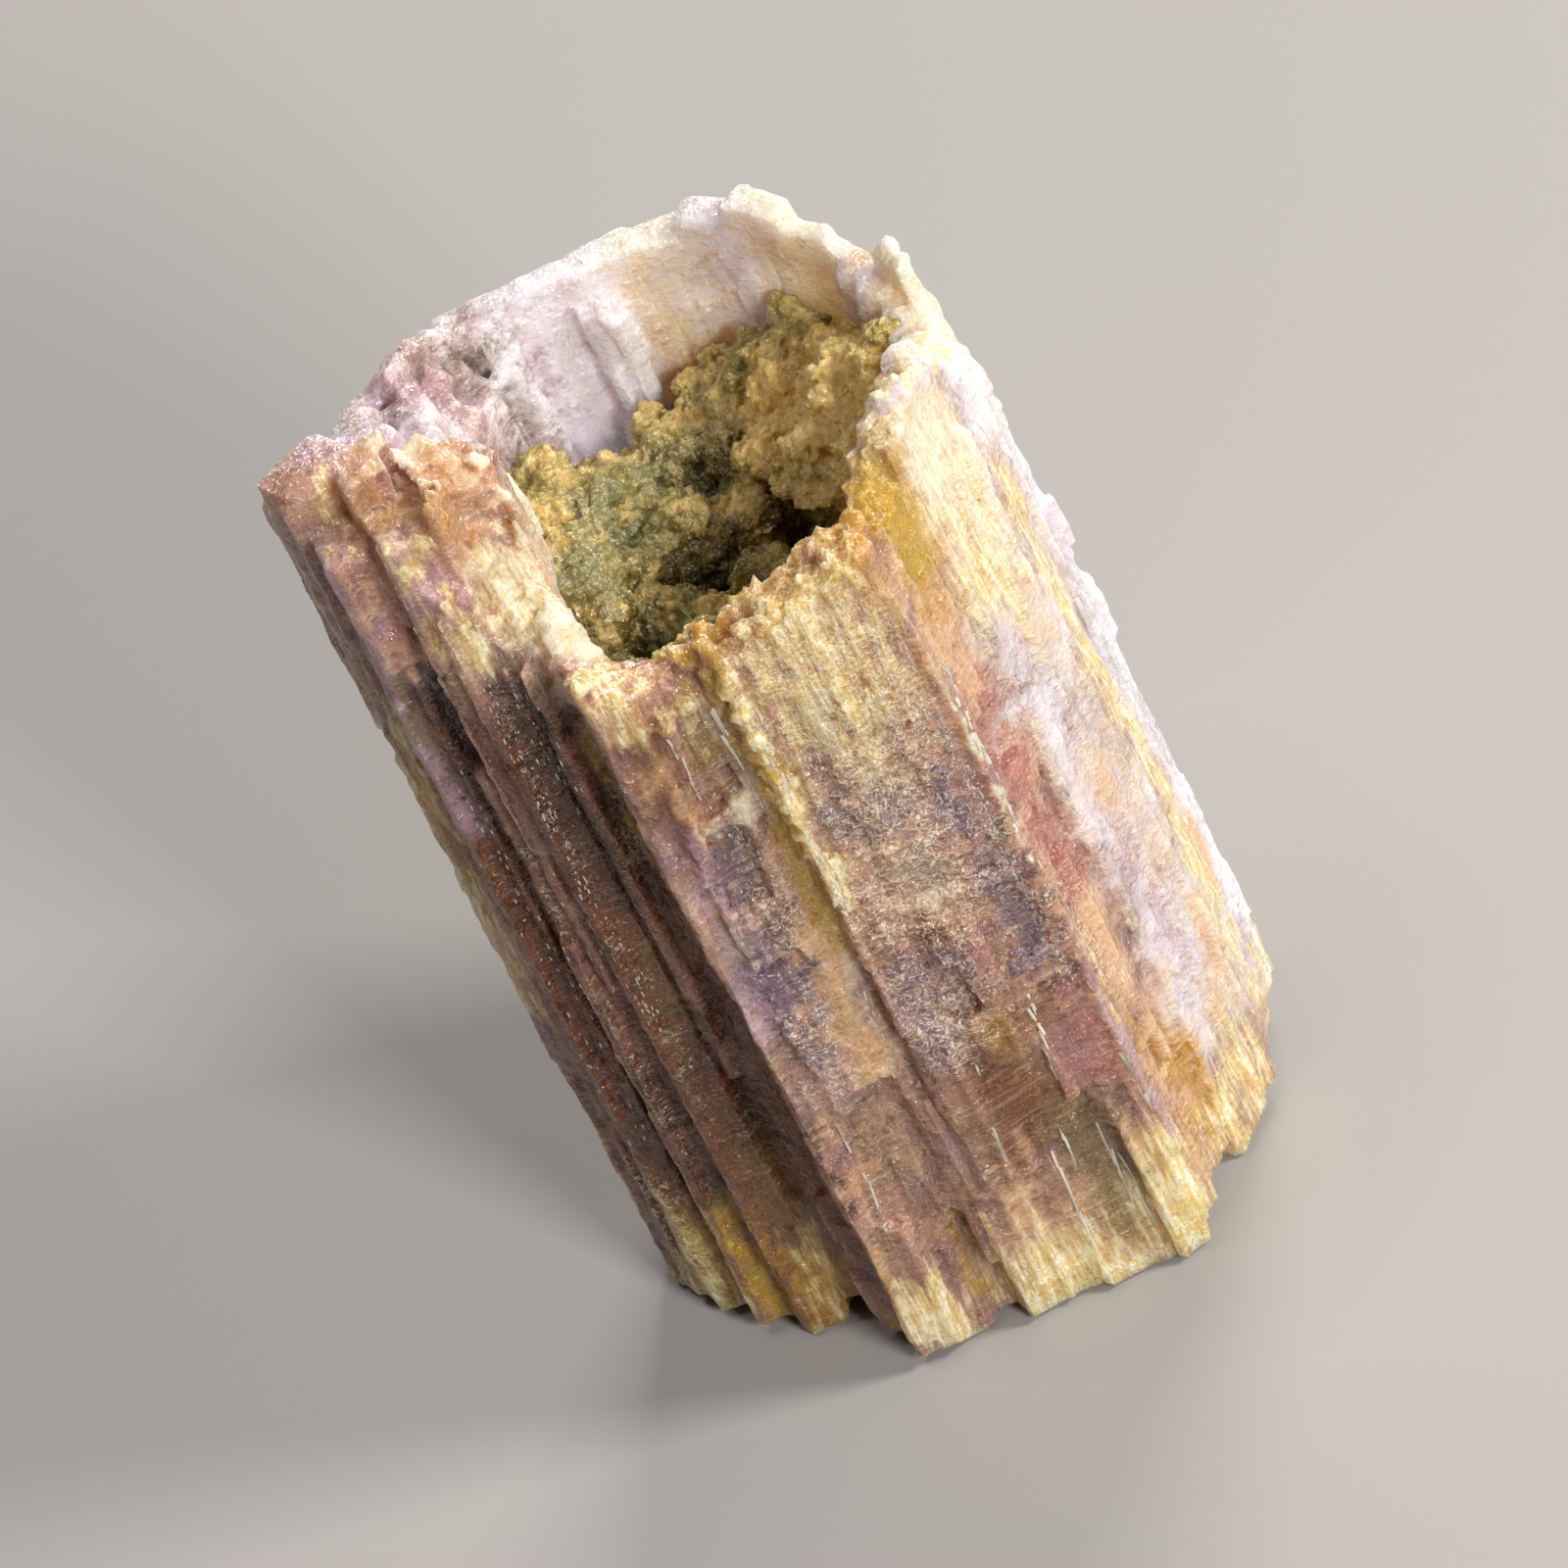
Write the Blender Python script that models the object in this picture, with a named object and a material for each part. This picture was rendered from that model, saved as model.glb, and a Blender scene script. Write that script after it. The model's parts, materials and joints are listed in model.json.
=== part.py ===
"""Aragonite crystal: a twinned prism of upright columns, with a crusted hollow in its top.

Run with blender --background --python part.py, or from Blender's text editor.
Metres, +Z up along the crystal. The front is -Y. The table of columns is in millimetres.
"""

import math
import random
from typing import NamedTuple

import bmesh
import bpy
from mathutils import Matrix, Vector, noise

MM = 0.001

# Driving dimensions, in millimetres.
BODY_CORNER_RADIUS = 10.7
BODY_BOTTOM = 1.7
BASE_RINGS = ((0.0, 1), (4.2, 6), (7.3, 12))  # radius and number of the inner columns' ends
BASE_CELL_RADIUS = 2.5
BASE_CELL_HEIGHT = 6.0
HOLLOW_FLOOR = 29.5
CUTTER_TOP = 55.0
CRUST_GAP = 0.35
CRUST_CELL = 0.62
CRUST_REACH = 12.0
CRUST_LEVEL = 31.6
TERRACE_RISE = 6.0
TERRACE_START = 3.2
TERRACE_END = 9.2
TERRACE_BACK_SHARE = 0.5  # how much of the rise is left at the back wall

CHAMFER_LIMIT = 0.22
PLATED_WIDTH = 1.8  # columns wider than this carry a cleavage plate
RIM_HEIGHT = 36.0  # columns taller than this end in broken fibres, unless they are smooth-topped
TOOTH_LENGTH = 2.2
TOOTH_TURN = 12.0
SEED = 31

# Where the columns' own axis stands, so that the finished box is centred on the origin.
AXIS_PLACE = (-0.04 * MM, 0.035 * MM, 0.0)


class Column(NamedTuple):
    """One upright column or slab. x and y are the middle of its outer face, in millimetres."""

    name: str
    x: float
    y: float
    width: float
    depth: float
    turn: float  # degrees from facing the front
    bottom: float
    top: float
    across: float = 0.0  # rise of the top facet for each millimetre to the right
    inward: float = 0.0  # rise of the top facet for each millimetre in from the outer face


FRONT_COLUMNS = (
    Column("left of the crack", -4.80, -10.30, 2.4, 4.2, 0, 0.3, 38.3, -0.45),
    Column("crack side, whole", -3.40, -10.00, 1.6, 4.0, 2, 0.0, 37.5, -0.1),
    Column("crack side, short", -2.10, -10.05, 1.35, 4.0, 0, 6.6, 37.0),
    Column("notch back", -2.05, -9.60, 1.6, 2.4, 0, 0.2, 9.0),
    Column("upper plate", -2.62, -10.50, 2.1, 1.6, 1, 32.8, 36.4, 0.1),
    Column("middle plate", -3.35, -10.72, 2.9, 1.6, -2, 15.0, 30.9, 0.25),
    Column("behind the crack", -1.20, -9.75, 1.9, 2.4, 0, 12.0, 37.4),
    Column("under the crack", -1.25, -10.45, 1.5, 3.0, 0, 3.4, 24.0, -0.8),
    Column("front slab, left", 0.34, -11.35, 2.55, 3.2, -1, 7.6, 38.3, 0.2),
    Column("front slab, middle", 3.15, -11.58, 3.4, 3.2, 0, 10.3, 39.2, 0.25),
    Column("front slab, right", 5.60, -11.45, 2.0, 3.2, 3, 1.3, 40.0, 0.1),
    Column("front foot, left", 0.35, -10.75, 3.7, 4.0, 1, 0.0, 14.0),
    Column("front foot, middle", 3.25, -11.02, 3.0, 4.0, -1, 0.0, 15.0),
    Column("front foot, right", 5.50, -11.40, 1.6, 4.0, 2, 0.0, 12.0),
    Column("front right edge", 6.75, -10.20, 1.5, 4.0, 32, 0.4, 39.3),
)

LEFT_COLUMNS = (
    Column("tall blade, front", -12.30, -1.20, 2.8, 3.4, -60, 0.4, 46.8, 0.0, -0.15),
    Column("tall blade, back", -12.90, 1.20, 2.6, 4.6, -94, 0.0, 44.4),
    Column("tall block", -9.85, -2.75, 4.3, 2.3, 1, 20.0, 46.9, 0.02),
    Column("behind the tall block", -10.20, -0.80, 4.4, 4.4, 0, 20.0, 42.2),
    Column("leaf, upper", -10.95, -3.65, 1.9, 2.6, -6, 38.3, 44.6, -0.75, 0.1),
    Column("leaf, lower", -11.10, -3.05, 2.2, 2.6, -22, 0.2, 39.2, -0.2),
    Column("olive needle", -11.95, -2.45, 0.6, 1.4, -30, 0.8, 38.6, 0.0, 0.5),
    Column("pink slab, upper", -8.65, -5.25, 2.7, 3.2, -3, 28.0, 45.2, -0.05),
    Column("pink slab, lower", -9.90, -4.60, 1.7, 3.2, -14, 0.3, 33.0, 0.5),
    Column("fibre bundle", -8.45, -5.95, 1.95, 3.2, -3, 0.0, 41.5, 0.25),
    Column("recess", -6.90, -5.70, 1.7, 3.4, 0, 0.6, 35.8),
    Column("thin column", -6.15, -7.40, 0.7, 3.4, -6, 0.5, 35.2, -0.8),
    Column("corner foot", -6.20, -8.60, 2.1, 3.0, -50, 0.7, 9.0, 0.6),
    Column("shoulder", -5.90, -7.00, 3.0, 5.0, 0, 15.0, 36.8, -0.1, 1.6),
    Column("shoulder top", -7.30, -5.00, 5.5, 3.5, 0, 20.0, 44.5, -0.22, 0.02),
)

RIGHT_COLUMNS = (
    Column("right slab", 7.75, -9.05, 3.9, 4.0, 53, 10.4, 39.0, 0.35),
    Column("golden foot", 7.75, -8.35, 2.4, 4.0, 42, 0.5, 13.0),
    Column("right face 1", 9.45, -7.25, 2.2, 3.6, 50, 0.0, 41.1, 0.3),
    Column("right face 2", 10.90, -5.75, 2.2, 3.6, 51, 0.3, 41.4, -0.2),
    Column("right face 3", 11.90, -4.00, 2.2, 3.4, 64, 1.5, 39.7, -0.4),
    Column("right face 4", 12.65, -2.00, 2.3, 3.4, 76, 1.9, 38.1, -0.3),
    Column("right corner", 13.05, 0.20, 2.4, 3.4, 93, 0.9, 36.3, -0.2),
)

BACK_COLUMNS = (
    Column("right back 1", 12.50, 2.20, 2.3, 3.6, 108, 0.0, 40.6, -0.1),
    Column("right back 2", 11.50, 4.30, 2.6, 3.6, 118, 1.3, 39.3, 0.3),
    Column("right back 3", 10.25, 6.40, 2.5, 3.4, 124, 0.6, 40.1, -0.2),
    Column("right back 4", 9.15, 8.25, 2.5, 3.4, 128, 0.0, 40.9, 0.2),
    Column("right back 5", 7.40, 9.85, 2.8, 3.2, 143, 1.1, 40.4),
    Column("back 1", 5.20, 11.20, 3.1, 3.0, 177, 0.4, 39.6, 0.05),
    Column("back 2", 2.40, 11.45, 3.0, 3.0, 181, 0.0, 39.8),
    Column("back 3", -0.40, 11.25, 3.0, 3.0, 179, 1.4, 40.1, -0.05),
    Column("back 4", -3.00, 11.45, 2.8, 3.0, 180, 0.2, 40.0),
    Column("back 5", -5.55, 11.00, 2.9, 3.3, 186, 0.9, 39.7, 0.1),
    Column("left back 1", -7.60, 9.35, 3.0, 3.2, 221, 0.0, 40.4, 0.2),
    Column("left back 2", -9.55, 6.65, 3.2, 3.4, 238, 1.2, 41.6, 0.3),
    Column("left back 3", -11.20, 4.00, 3.2, 3.6, 240, 0.5, 43.2, 0.3),
)

COLUMNS = FRONT_COLUMNS + LEFT_COLUMNS + RIGHT_COLUMNS + BACK_COLUMNS
SMOOTH_TOPPED = BACK_COLUMNS + LEFT_COLUMNS[:4]

# Small crystals that stand on the inner side of the back wall.
GROWTH_COLUMNS = (
    Column("growth 1", -7.55, 5.60, 1.3, 2.2, 40, 28.0, 39.6, -0.4),
    Column("growth 2", -6.30, 7.00, 1.5, 2.2, 25, 28.0, 38.9, 0.5),
    Column("growth 3", -5.00, 8.10, 1.1, 2.2, 12, 28.0, 37.6, -0.3),
    Column("growth 4", -3.10, 8.85, 1.4, 2.0, -8, 28.0, 36.8, 0.4),
    Column("growth 5", -2.00, 9.05, 0.9, 2.0, 10, 28.0, 35.9, -0.5),
    Column("growth 6", 1.60, 9.10, 1.6, 2.0, 5, 28.0, 36.0, 0.3),
)

# Plans of the hollow and of the crust on its floor.
HOLLOW_PLAN = (
    (-4.3, -7.7), (-0.6, -8.9), (5.4, -9.1), (6.6, -8.4), (8.5, -6.2), (9.9, -4.8),
    (11.1, -2.9), (11.9, -1.0), (12.0, 0.9), (11.4, 2.7), (10.2, 4.7), (9.1, 6.3),
    (7.8, 7.8), (5.5, 9.5), (2.4, 10.1), (-5.0, 9.9), (-7.2, 8.1), (-8.6, 5.7),
    (-9.2, 3.6), (-7.9, 1.8), (-5.4, -0.5), (-4.7, -3.4),
)
CRUST_PLAN = (
    (-3.9, -7.3), (-0.5, -8.5), (5.3, -8.7), (6.4, -8.0), (8.2, -5.9), (9.6, -4.5),
    (10.7, -2.7), (11.5, -0.9), (11.6, 0.8), (11.0, 2.5), (9.8, 4.5), (8.7, 6.0),
    (7.5, 7.4), (5.3, 9.1), (2.9, 9.6), (2.6, 8.6), (-3.2, 8.3), (-5.0, 7.3),
    (-6.6, 5.8), (-7.4, 3.4), (-6.4, 1.2), (-5.0, -0.5), (-4.3, -3.4),
)

# Lumps and pits of the crust: x, y, radius, rise, in millimetres.
CRUST_LUMPS = (
    (-3.2, 0.6, 1.3, 2.2), (-2.4, 4.4, 2.0, 1.2), (0.4, -6.6, 2.2, 0.8), (2.6, 5.6, 2.4, 1.6),
    (5.4, 3.0, 2.0, 1.0), (4.6, -6.6, 1.8, 1.0), (-3.8, 6.0, 1.6, 1.4), (6.4, 6.6, 2.0, 0.7),
    (-5.6, 3.6, 1.8, 1.0), (1.2, 1.8, 1.4, 1.0),
)
CRUST_PITS = (
    (0.3, -1.4, 1.5, -1.7), (-3.4, -4.2, 1.4, -1.6), (1.9, 4.0, 1.0, -1.2), (4.2, -1.8, 1.7, -1.8),
)


def clear_scene():
    for thing in list(bpy.data.objects):
        bpy.data.objects.remove(thing, do_unlink=True)


def new_collection(name, hidden=False):
    collection = bpy.data.collections.new(name)
    bpy.context.scene.collection.children.link(collection)
    collection.hide_render = hidden
    return collection


def new_object(name, mesh_builder, collection):
    mesh = bpy.data.meshes.new(name)
    mesh_builder.to_mesh(mesh)
    mesh_builder.free()
    thing = bpy.data.objects.new(name, mesh)
    collection.objects.link(thing)
    return thing


def stone_material(name, colour, roughness):
    material = bpy.data.materials.new(name)
    material.use_nodes = True
    shader = material.node_tree.nodes["Principled BSDF"]
    shader.inputs["Base Color"].default_value = (*colour, 1.0)
    shader.inputs["Roughness"].default_value = roughness
    shader.inputs["Metallic"].default_value = 0.0
    return material


def column_frame(column):
    """The matrix from a column's own axes to the world, in millimetres."""
    place = Matrix.Translation(Vector((column.x, column.y, 0.0)))
    return place @ Matrix.Rotation(math.radians(column.turn), 4, "Z")


def top_height(column, across, inward):
    return column.top + column.across * across + column.inward * inward


def add_block(body, frame, low, high, chamfer=0.0):
    """A block between two corners of its own frame. Its upright edges may be chamfered."""
    size = Vector(high) - Vector(low)
    middle = (Vector(high) + Vector(low)) / 2
    shape = frame @ Matrix.Translation(middle) @ Matrix.Diagonal((*size, 1.0))
    verts = bmesh.ops.create_cube(body, size=1.0, matrix=shape)["verts"]
    if not chamfer:
        return verts
    edges = {edge for vert in verts for edge in vert.link_edges}
    upright = [e for e in edges if abs(e.verts[0].co.z - e.verts[1].co.z) > size.z / 2]
    made = bmesh.ops.bevel(
        body, geom=upright, offset=chamfer, segments=1, affect="EDGES", clamp_overlap=True
    )
    whole = set(made["verts"]) | {vert for vert in verts if vert.is_valid}
    return list(whole)


def slope_top(verts, column):
    """Tilts the upper ends of a column's blocks to its own top facet."""
    back = column_frame(column).inverted()
    middle = (column.bottom + column.top) / 2
    for vert in verts:
        if vert.co.z > middle:
            local = back @ vert.co
            vert.co.z = top_height(column, local.x, local.y)


def add_column(body, column):
    frame = column_frame(column)
    half = column.width / 2
    chamfer = min(CHAMFER_LIMIT, column.width * 0.12)
    low = (-half, 0.0, column.bottom)
    high = (half, column.depth, column.top)
    slope_top(add_block(body, frame, low, high, chamfer), column)


def add_ribs(body, column, dice):
    """Upright ribs, sunk by half in a column's outer face, of the fibres it is made of."""
    frame = column_frame(column)
    half = column.width / 2
    length = column.top - column.bottom
    place = -half + 0.25
    while place < half - 0.1:
        radius = dice.uniform(0.14, 0.36)
        bottom = column.bottom + 0.12 + dice.choice((0.0, 0.0, 0.1, 0.3)) * length
        drop = dice.choice((0.25, 0.4, 0.08 * length, 0.3 * length))
        top = top_height(column, place, 0.0) - drop
        if top - bottom > 2.0:
            turn = Matrix.Rotation(math.radians(dice.uniform(30, 60)), 4, "Z")
            sunk = radius * dice.uniform(0.1, 0.8)
            rib = frame @ Matrix.Translation((place, sunk, 0.0)) @ turn
            add_block(body, rib, (-radius, -radius, bottom), (radius, radius, top))
        place += dice.uniform(0.5, 1.5)


def add_teeth(body, column, dice):
    """Broken fibre ends that stand up along the outer edge of a column's top."""
    frame = column_frame(column)
    half = column.width / 2
    place = -half + dice.uniform(0.2, 0.6)
    while place < half - 0.3:
        width = dice.uniform(0.3, 0.75)
        turn = Matrix.Rotation(math.radians(dice.uniform(-TOOTH_TURN, TOOTH_TURN)), 4, "Z")
        tooth = frame @ Matrix.Translation((place, dice.uniform(0.35, 0.7), 0.0)) @ turn
        top = top_height(column, place, 0.0) + dice.uniform(0.1, 0.6)
        low = (-width / 2, -0.28, top - TOOTH_LENGTH)
        add_block(body, tooth, low, (width / 2, dice.uniform(0.3, 0.6), top))
        place += width + dice.uniform(0.25, 0.8)


def add_plate(body, column, dice):
    """A thin cleavage plate on a column's outer face, which leaves a ledge at each end."""
    frame = column_frame(column)
    half = column.width / 2
    length = column.top - column.bottom
    left = -half + dice.uniform(0.1, 0.4) * column.width
    right = min(half - 0.12, left + dice.uniform(0.4, 0.7) * column.width)
    bottom = column.bottom + dice.uniform(0.15, 0.5) * length
    top = bottom + dice.uniform(0.15, 0.35) * length
    out = dice.uniform(0.1, 0.2)
    add_block(body, frame, (left, -out, bottom), (right, 0.8, top))


def scale_to_metres(body):
    bmesh.ops.scale(body, verts=body.verts, vec=(MM, MM, MM))
    return body


def prism(plan, bottom, top):
    """An upright block with this plan."""
    body = bmesh.new()
    face = body.faces.new([body.verts.new((x, y, bottom)) for x, y in plan])
    raised = bmesh.ops.extrude_face_region(body, geom=[face])["geom"]
    upper = [item for item in raised if isinstance(item, bmesh.types.BMVert)]
    bmesh.ops.translate(body, verts=upper, vec=(0.0, 0.0, top - bottom))
    bmesh.ops.recalc_face_normals(body, faces=body.faces)
    return scale_to_metres(body)


def add_boolean(thing, operation, other, join_itself=False):
    modifier = thing.modifiers.new(f"{operation} {other.name}", "BOOLEAN")
    modifier.operation = operation
    modifier.object = other
    modifier.solver = "EXACT"
    modifier.use_self = join_itself


def hide(cutter):
    cutter.hide_render = True
    cutter.display_type = "WIRE"


def add_base_cells(body, dice):
    """Lower ends of the inner columns. The middle one and every third reach the ground."""
    for ring, count in BASE_RINGS:
        for step in range(count):
            angle = math.tau * (step + 0.3) / count
            bottom = 0.0 if step % 3 == 0 else dice.uniform(0.35, 1.4)
            radius = BASE_CELL_RADIUS * dice.uniform(0.85, 1.1)
            middle = bottom + BASE_CELL_HEIGHT / 2
            place = Vector((ring * math.cos(angle), ring * math.sin(angle), middle))
            turn = Matrix.Rotation(dice.uniform(0.0, 1.0), 4, "Z")
            bmesh.ops.create_cone(
                body,
                cap_ends=True,
                segments=6,
                radius1=radius,
                radius2=radius,
                depth=BASE_CELL_HEIGHT,
                matrix=Matrix.Translation(place) @ turn,
            )


def make_core():
    """The middle of the crystal, under the hollow."""
    body = bmesh.new()
    height = HOLLOW_FLOOR + 1.0 - BODY_BOTTOM
    face_front = Matrix.Rotation(math.radians(30), 4, "Z")
    bmesh.ops.create_cone(
        body,
        cap_ends=True,
        segments=6,
        radius1=BODY_CORNER_RADIUS,
        radius2=BODY_CORNER_RADIUS,
        depth=height,
        matrix=Matrix.Translation((0.0, 0.0, BODY_BOTTOM + height / 2)) @ face_front,
    )
    add_base_cells(body, random.Random(SEED))
    return scale_to_metres(body)


def make_columns(columns, seed):
    dice = random.Random(seed)
    body = bmesh.new()
    for column in columns:
        add_column(body, column)
        add_ribs(body, column, dice)
        if column.width > PLATED_WIDTH:
            add_plate(body, column, dice)
        if column.top > RIM_HEIGHT and column not in SMOOTH_TOPPED:
            add_teeth(body, column, dice)
    return scale_to_metres(body)


def smooth_step(value, start, end):
    share = min(max((value - start) / (end - start), 0.0), 1.0)
    return share * share * (3.0 - 2.0 * share)


def crust_height(x, y):
    """Height of the crust over the hollow's plan: low and pitted, with a terrace on the right."""
    height = CRUST_LEVEL + 0.08 * y
    share = 1.0 - (1.0 - TERRACE_BACK_SHARE) * smooth_step(y, 0.5, 7.0)
    height += share * TERRACE_RISE * smooth_step(x + 0.12 * y, TERRACE_START, TERRACE_END)
    for lump_x, lump_y, radius, rise in CRUST_LUMPS + CRUST_PITS:
        away = math.hypot(x - lump_x, y - lump_y) / radius
        height += rise * math.exp(-away * away)
    grain = noise.noise(Vector((x * 0.55, y * 0.55, 2.0)))
    knobs = noise.voronoi(Vector((x * 0.6, y * 0.6, 7.0)))[0][0]
    return height + 0.7 * grain + 1.1 * (0.5 - knobs)


def make_crust():
    """A lumpy slab over the whole floor, which the hollow's own plan then trims."""
    body = bmesh.new()
    cells = int(2 * CRUST_REACH / CRUST_CELL)
    bmesh.ops.create_grid(body, x_segments=cells, y_segments=cells, size=CRUST_REACH)
    for vert in body.verts:
        vert.co.z = crust_height(vert.co.x, vert.co.y)
    rim = [edge for edge in body.edges if edge.is_boundary]
    skirt = bmesh.ops.extrude_edge_only(body, edges=rim)["geom"]
    for item in skirt:
        if isinstance(item, bmesh.types.BMVert):
            item.co.z = HOLLOW_FLOOR - 4.0
    bottom = [edge for edge in body.edges if edge.is_boundary]
    bmesh.ops.contextual_create(body, geom=bottom)
    bmesh.ops.recalc_face_normals(body, faces=body.faces)
    return scale_to_metres(body)


def main():
    clear_scene()
    parts = new_collection("aragonite_crystal_specimen")
    cutters = new_collection("cutters", hidden=True)

    crystal = new_object("aragonite_crystal", make_columns(COLUMNS, SEED), parts)
    core = new_object("core", make_core(), cutters)
    hollow = new_object("hollow", prism(HOLLOW_PLAN, HOLLOW_FLOOR, CUTTER_TOP), cutters)
    growths = new_object("growths", make_columns(GROWTH_COLUMNS, SEED), cutters)
    add_boolean(crystal, "UNION", core, join_itself=True)
    add_boolean(crystal, "DIFFERENCE", hollow)
    add_boolean(crystal, "UNION", growths, join_itself=True)
    crystal.data.materials.append(stone_material("crystal stone", (0.52, 0.38, 0.32), 0.42))

    crust = new_object("hollow_crust", make_crust(), parts)
    trim = new_object(
        "crust_trim", prism(CRUST_PLAN, HOLLOW_FLOOR + CRUST_GAP, CUTTER_TOP), cutters
    )
    add_boolean(crust, "INTERSECT", trim)
    crust.data.materials.append(stone_material("crust stone", (0.30, 0.24, 0.09), 0.7))

    cutting = (core, hollow, growths, trim)
    for cutter in cutting:
        hide(cutter)

    axis = bpy.data.objects.new("crystal_axis", None)
    axis.location = AXIS_PLACE
    parts.objects.link(axis)
    for thing in (crystal, crust, *cutting):
        thing.parent = axis


main()
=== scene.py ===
"""An aragonite crystal, dressed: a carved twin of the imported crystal, its crust, and its stone."""

import json
import math
import random

import bpy
import numpy as np
from mathutils import Matrix, Vector, noise

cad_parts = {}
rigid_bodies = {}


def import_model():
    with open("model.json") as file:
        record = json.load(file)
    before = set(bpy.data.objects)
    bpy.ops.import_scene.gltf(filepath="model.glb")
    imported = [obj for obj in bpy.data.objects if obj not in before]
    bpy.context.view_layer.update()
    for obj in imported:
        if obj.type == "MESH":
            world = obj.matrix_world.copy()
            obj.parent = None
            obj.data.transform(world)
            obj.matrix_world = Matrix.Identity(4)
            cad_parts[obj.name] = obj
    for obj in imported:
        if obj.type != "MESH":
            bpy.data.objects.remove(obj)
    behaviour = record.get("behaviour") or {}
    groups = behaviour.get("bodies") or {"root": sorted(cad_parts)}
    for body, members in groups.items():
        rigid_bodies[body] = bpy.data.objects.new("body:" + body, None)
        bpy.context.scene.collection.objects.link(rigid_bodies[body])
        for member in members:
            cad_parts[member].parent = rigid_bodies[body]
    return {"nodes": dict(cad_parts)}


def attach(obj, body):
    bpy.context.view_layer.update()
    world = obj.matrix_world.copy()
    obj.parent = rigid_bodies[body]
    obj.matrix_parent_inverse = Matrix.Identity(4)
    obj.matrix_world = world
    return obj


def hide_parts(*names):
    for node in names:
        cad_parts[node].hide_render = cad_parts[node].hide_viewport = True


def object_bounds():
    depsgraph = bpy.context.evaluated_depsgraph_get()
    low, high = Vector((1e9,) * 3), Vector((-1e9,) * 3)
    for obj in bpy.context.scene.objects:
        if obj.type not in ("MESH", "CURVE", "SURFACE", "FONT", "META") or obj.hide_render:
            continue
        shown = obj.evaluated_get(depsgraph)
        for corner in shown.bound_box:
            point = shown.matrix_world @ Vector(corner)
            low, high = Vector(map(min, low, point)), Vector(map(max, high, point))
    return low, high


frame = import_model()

MM = 0.001
CAD_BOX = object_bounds()

# Triangles that each finished piece may have.
BODY_TRIANGLES = 194000
CRUST_TRIANGLES = 190000


# ------------------------------------------------------------------ camera, floor and lights

PIXEL = 0.0369 * MM
AIM = Vector((-18 * PIXEL, 0.0, 566 * PIXEL + 0.2 * MM))
LENS = 600.0
SENSOR = 36.0
FRAME_PIXELS = 1600
CAMERA_RISE = math.radians(43.0)
CAMERA_ROLL = math.radians(-27.3)


def add_camera():
    towards = Vector((0.0, -math.cos(CAMERA_RISE), math.sin(CAMERA_RISE)))
    distance = FRAME_PIXELS * PIXEL * LENS / SENSOR
    bpy.ops.object.camera_add()
    camera = bpy.context.object
    camera.name = "camera"
    camera.data.lens = LENS
    camera.data.sensor_width = SENSOR
    camera.data.clip_start = 0.01
    turn = (-towards).to_track_quat("-Z", "Y").to_matrix().to_4x4()
    roll = Matrix.Rotation(CAMERA_ROLL, 4, "Z")
    camera.matrix_world = Matrix.Translation(AIM + towards * distance) @ turn @ roll
    bpy.context.scene.camera = camera


def add_soft_light(name, place, size, power, colour):
    """A square light of this size in metres, turned to the crystal."""
    bpy.ops.object.light_add(type="AREA", location=place)
    light = bpy.context.object
    light.name = name
    light.data.size = size
    light.data.energy = power
    light.data.color = colour
    light.rotation_euler = (Vector(place) - AIM).to_track_quat("Z", "Y").to_euler()


def add_studio():
    bpy.ops.mesh.primitive_plane_add(size=4.0, location=(0.0, 0.0, 0.0))
    floor = named(bpy.context.object, "floor")
    paper = bpy.data.materials.new("floor paper")
    paper.use_nodes = True
    shader = paper.node_tree.nodes["Principled BSDF"]
    shader.inputs["Base Color"].default_value = (0.42, 0.41, 0.40, 1.0)
    shader.inputs["Roughness"].default_value = 0.9
    floor.data.materials.append(paper)

    add_soft_light("key light", (0.43, -0.19, 0.37), 0.12, 2.4, (1.0, 0.96, 0.92))
    add_soft_light("back light", (0.26, 0.42, 0.22), 0.20, 2.5, (1.0, 0.95, 0.9))
    add_soft_light("top light", (-0.10, 0.02, 0.56), 0.16, 0.6, (1.0, 0.97, 0.95))
    add_soft_light("front light", (0.18, -0.47, 0.30), 0.12, 2.3, (1.0, 0.97, 0.94))

    world = bpy.data.worlds.new("studio air")
    world.use_nodes = True
    air = world.node_tree.nodes["Background"]
    air.inputs["Color"].default_value = (1.0, 0.92, 0.86, 1.0)
    air.inputs["Strength"].default_value = 0.036
    bpy.context.scene.world = world
    bpy.context.scene.view_settings.view_transform = "Standard"


# ------------------------------------------------------------------ modelling by hand

def pick(*things):
    """Selects these alone, and makes the first the active one."""
    bpy.ops.object.select_all(action="DESELECT")
    for thing in things:
        thing.select_set(True)
    bpy.context.view_layer.objects.active = things[0]


def named(thing, name):
    thing.name = name
    thing.data.name = name
    return thing


def copy_of_node(node, name):
    """A merged copy of a CAD node, to model on."""
    pick(frame["nodes"][node])
    bpy.ops.object.duplicate(linked=False)
    piece = named(bpy.context.object, name)
    bpy.ops.object.parent_clear(type="CLEAR_KEEP_TRANSFORM")
    for tag in list(piece.keys()):
        del piece[tag]
    piece.data.materials.clear()
    bpy.ops.mesh.customdata_custom_splitnormals_clear()
    bpy.ops.object.mode_set(mode="EDIT")
    bpy.ops.mesh.select_all(action="SELECT")
    bpy.ops.mesh.remove_doubles(threshold=0.002 * MM)
    bpy.ops.object.mode_set(mode="OBJECT")
    return piece


def apply_modifier(piece, modifier):
    pick(piece)
    bpy.ops.object.modifier_apply(modifier=modifier.name)


def fuse(piece, voxel):
    """Grows a piece's parts into one skin, voxel size in millimetres."""
    modifier = piece.modifiers.new("fuse", "REMESH")
    modifier.mode = "VOXEL"
    modifier.voxel_size = voxel * MM
    apply_modifier(piece, modifier)


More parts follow.
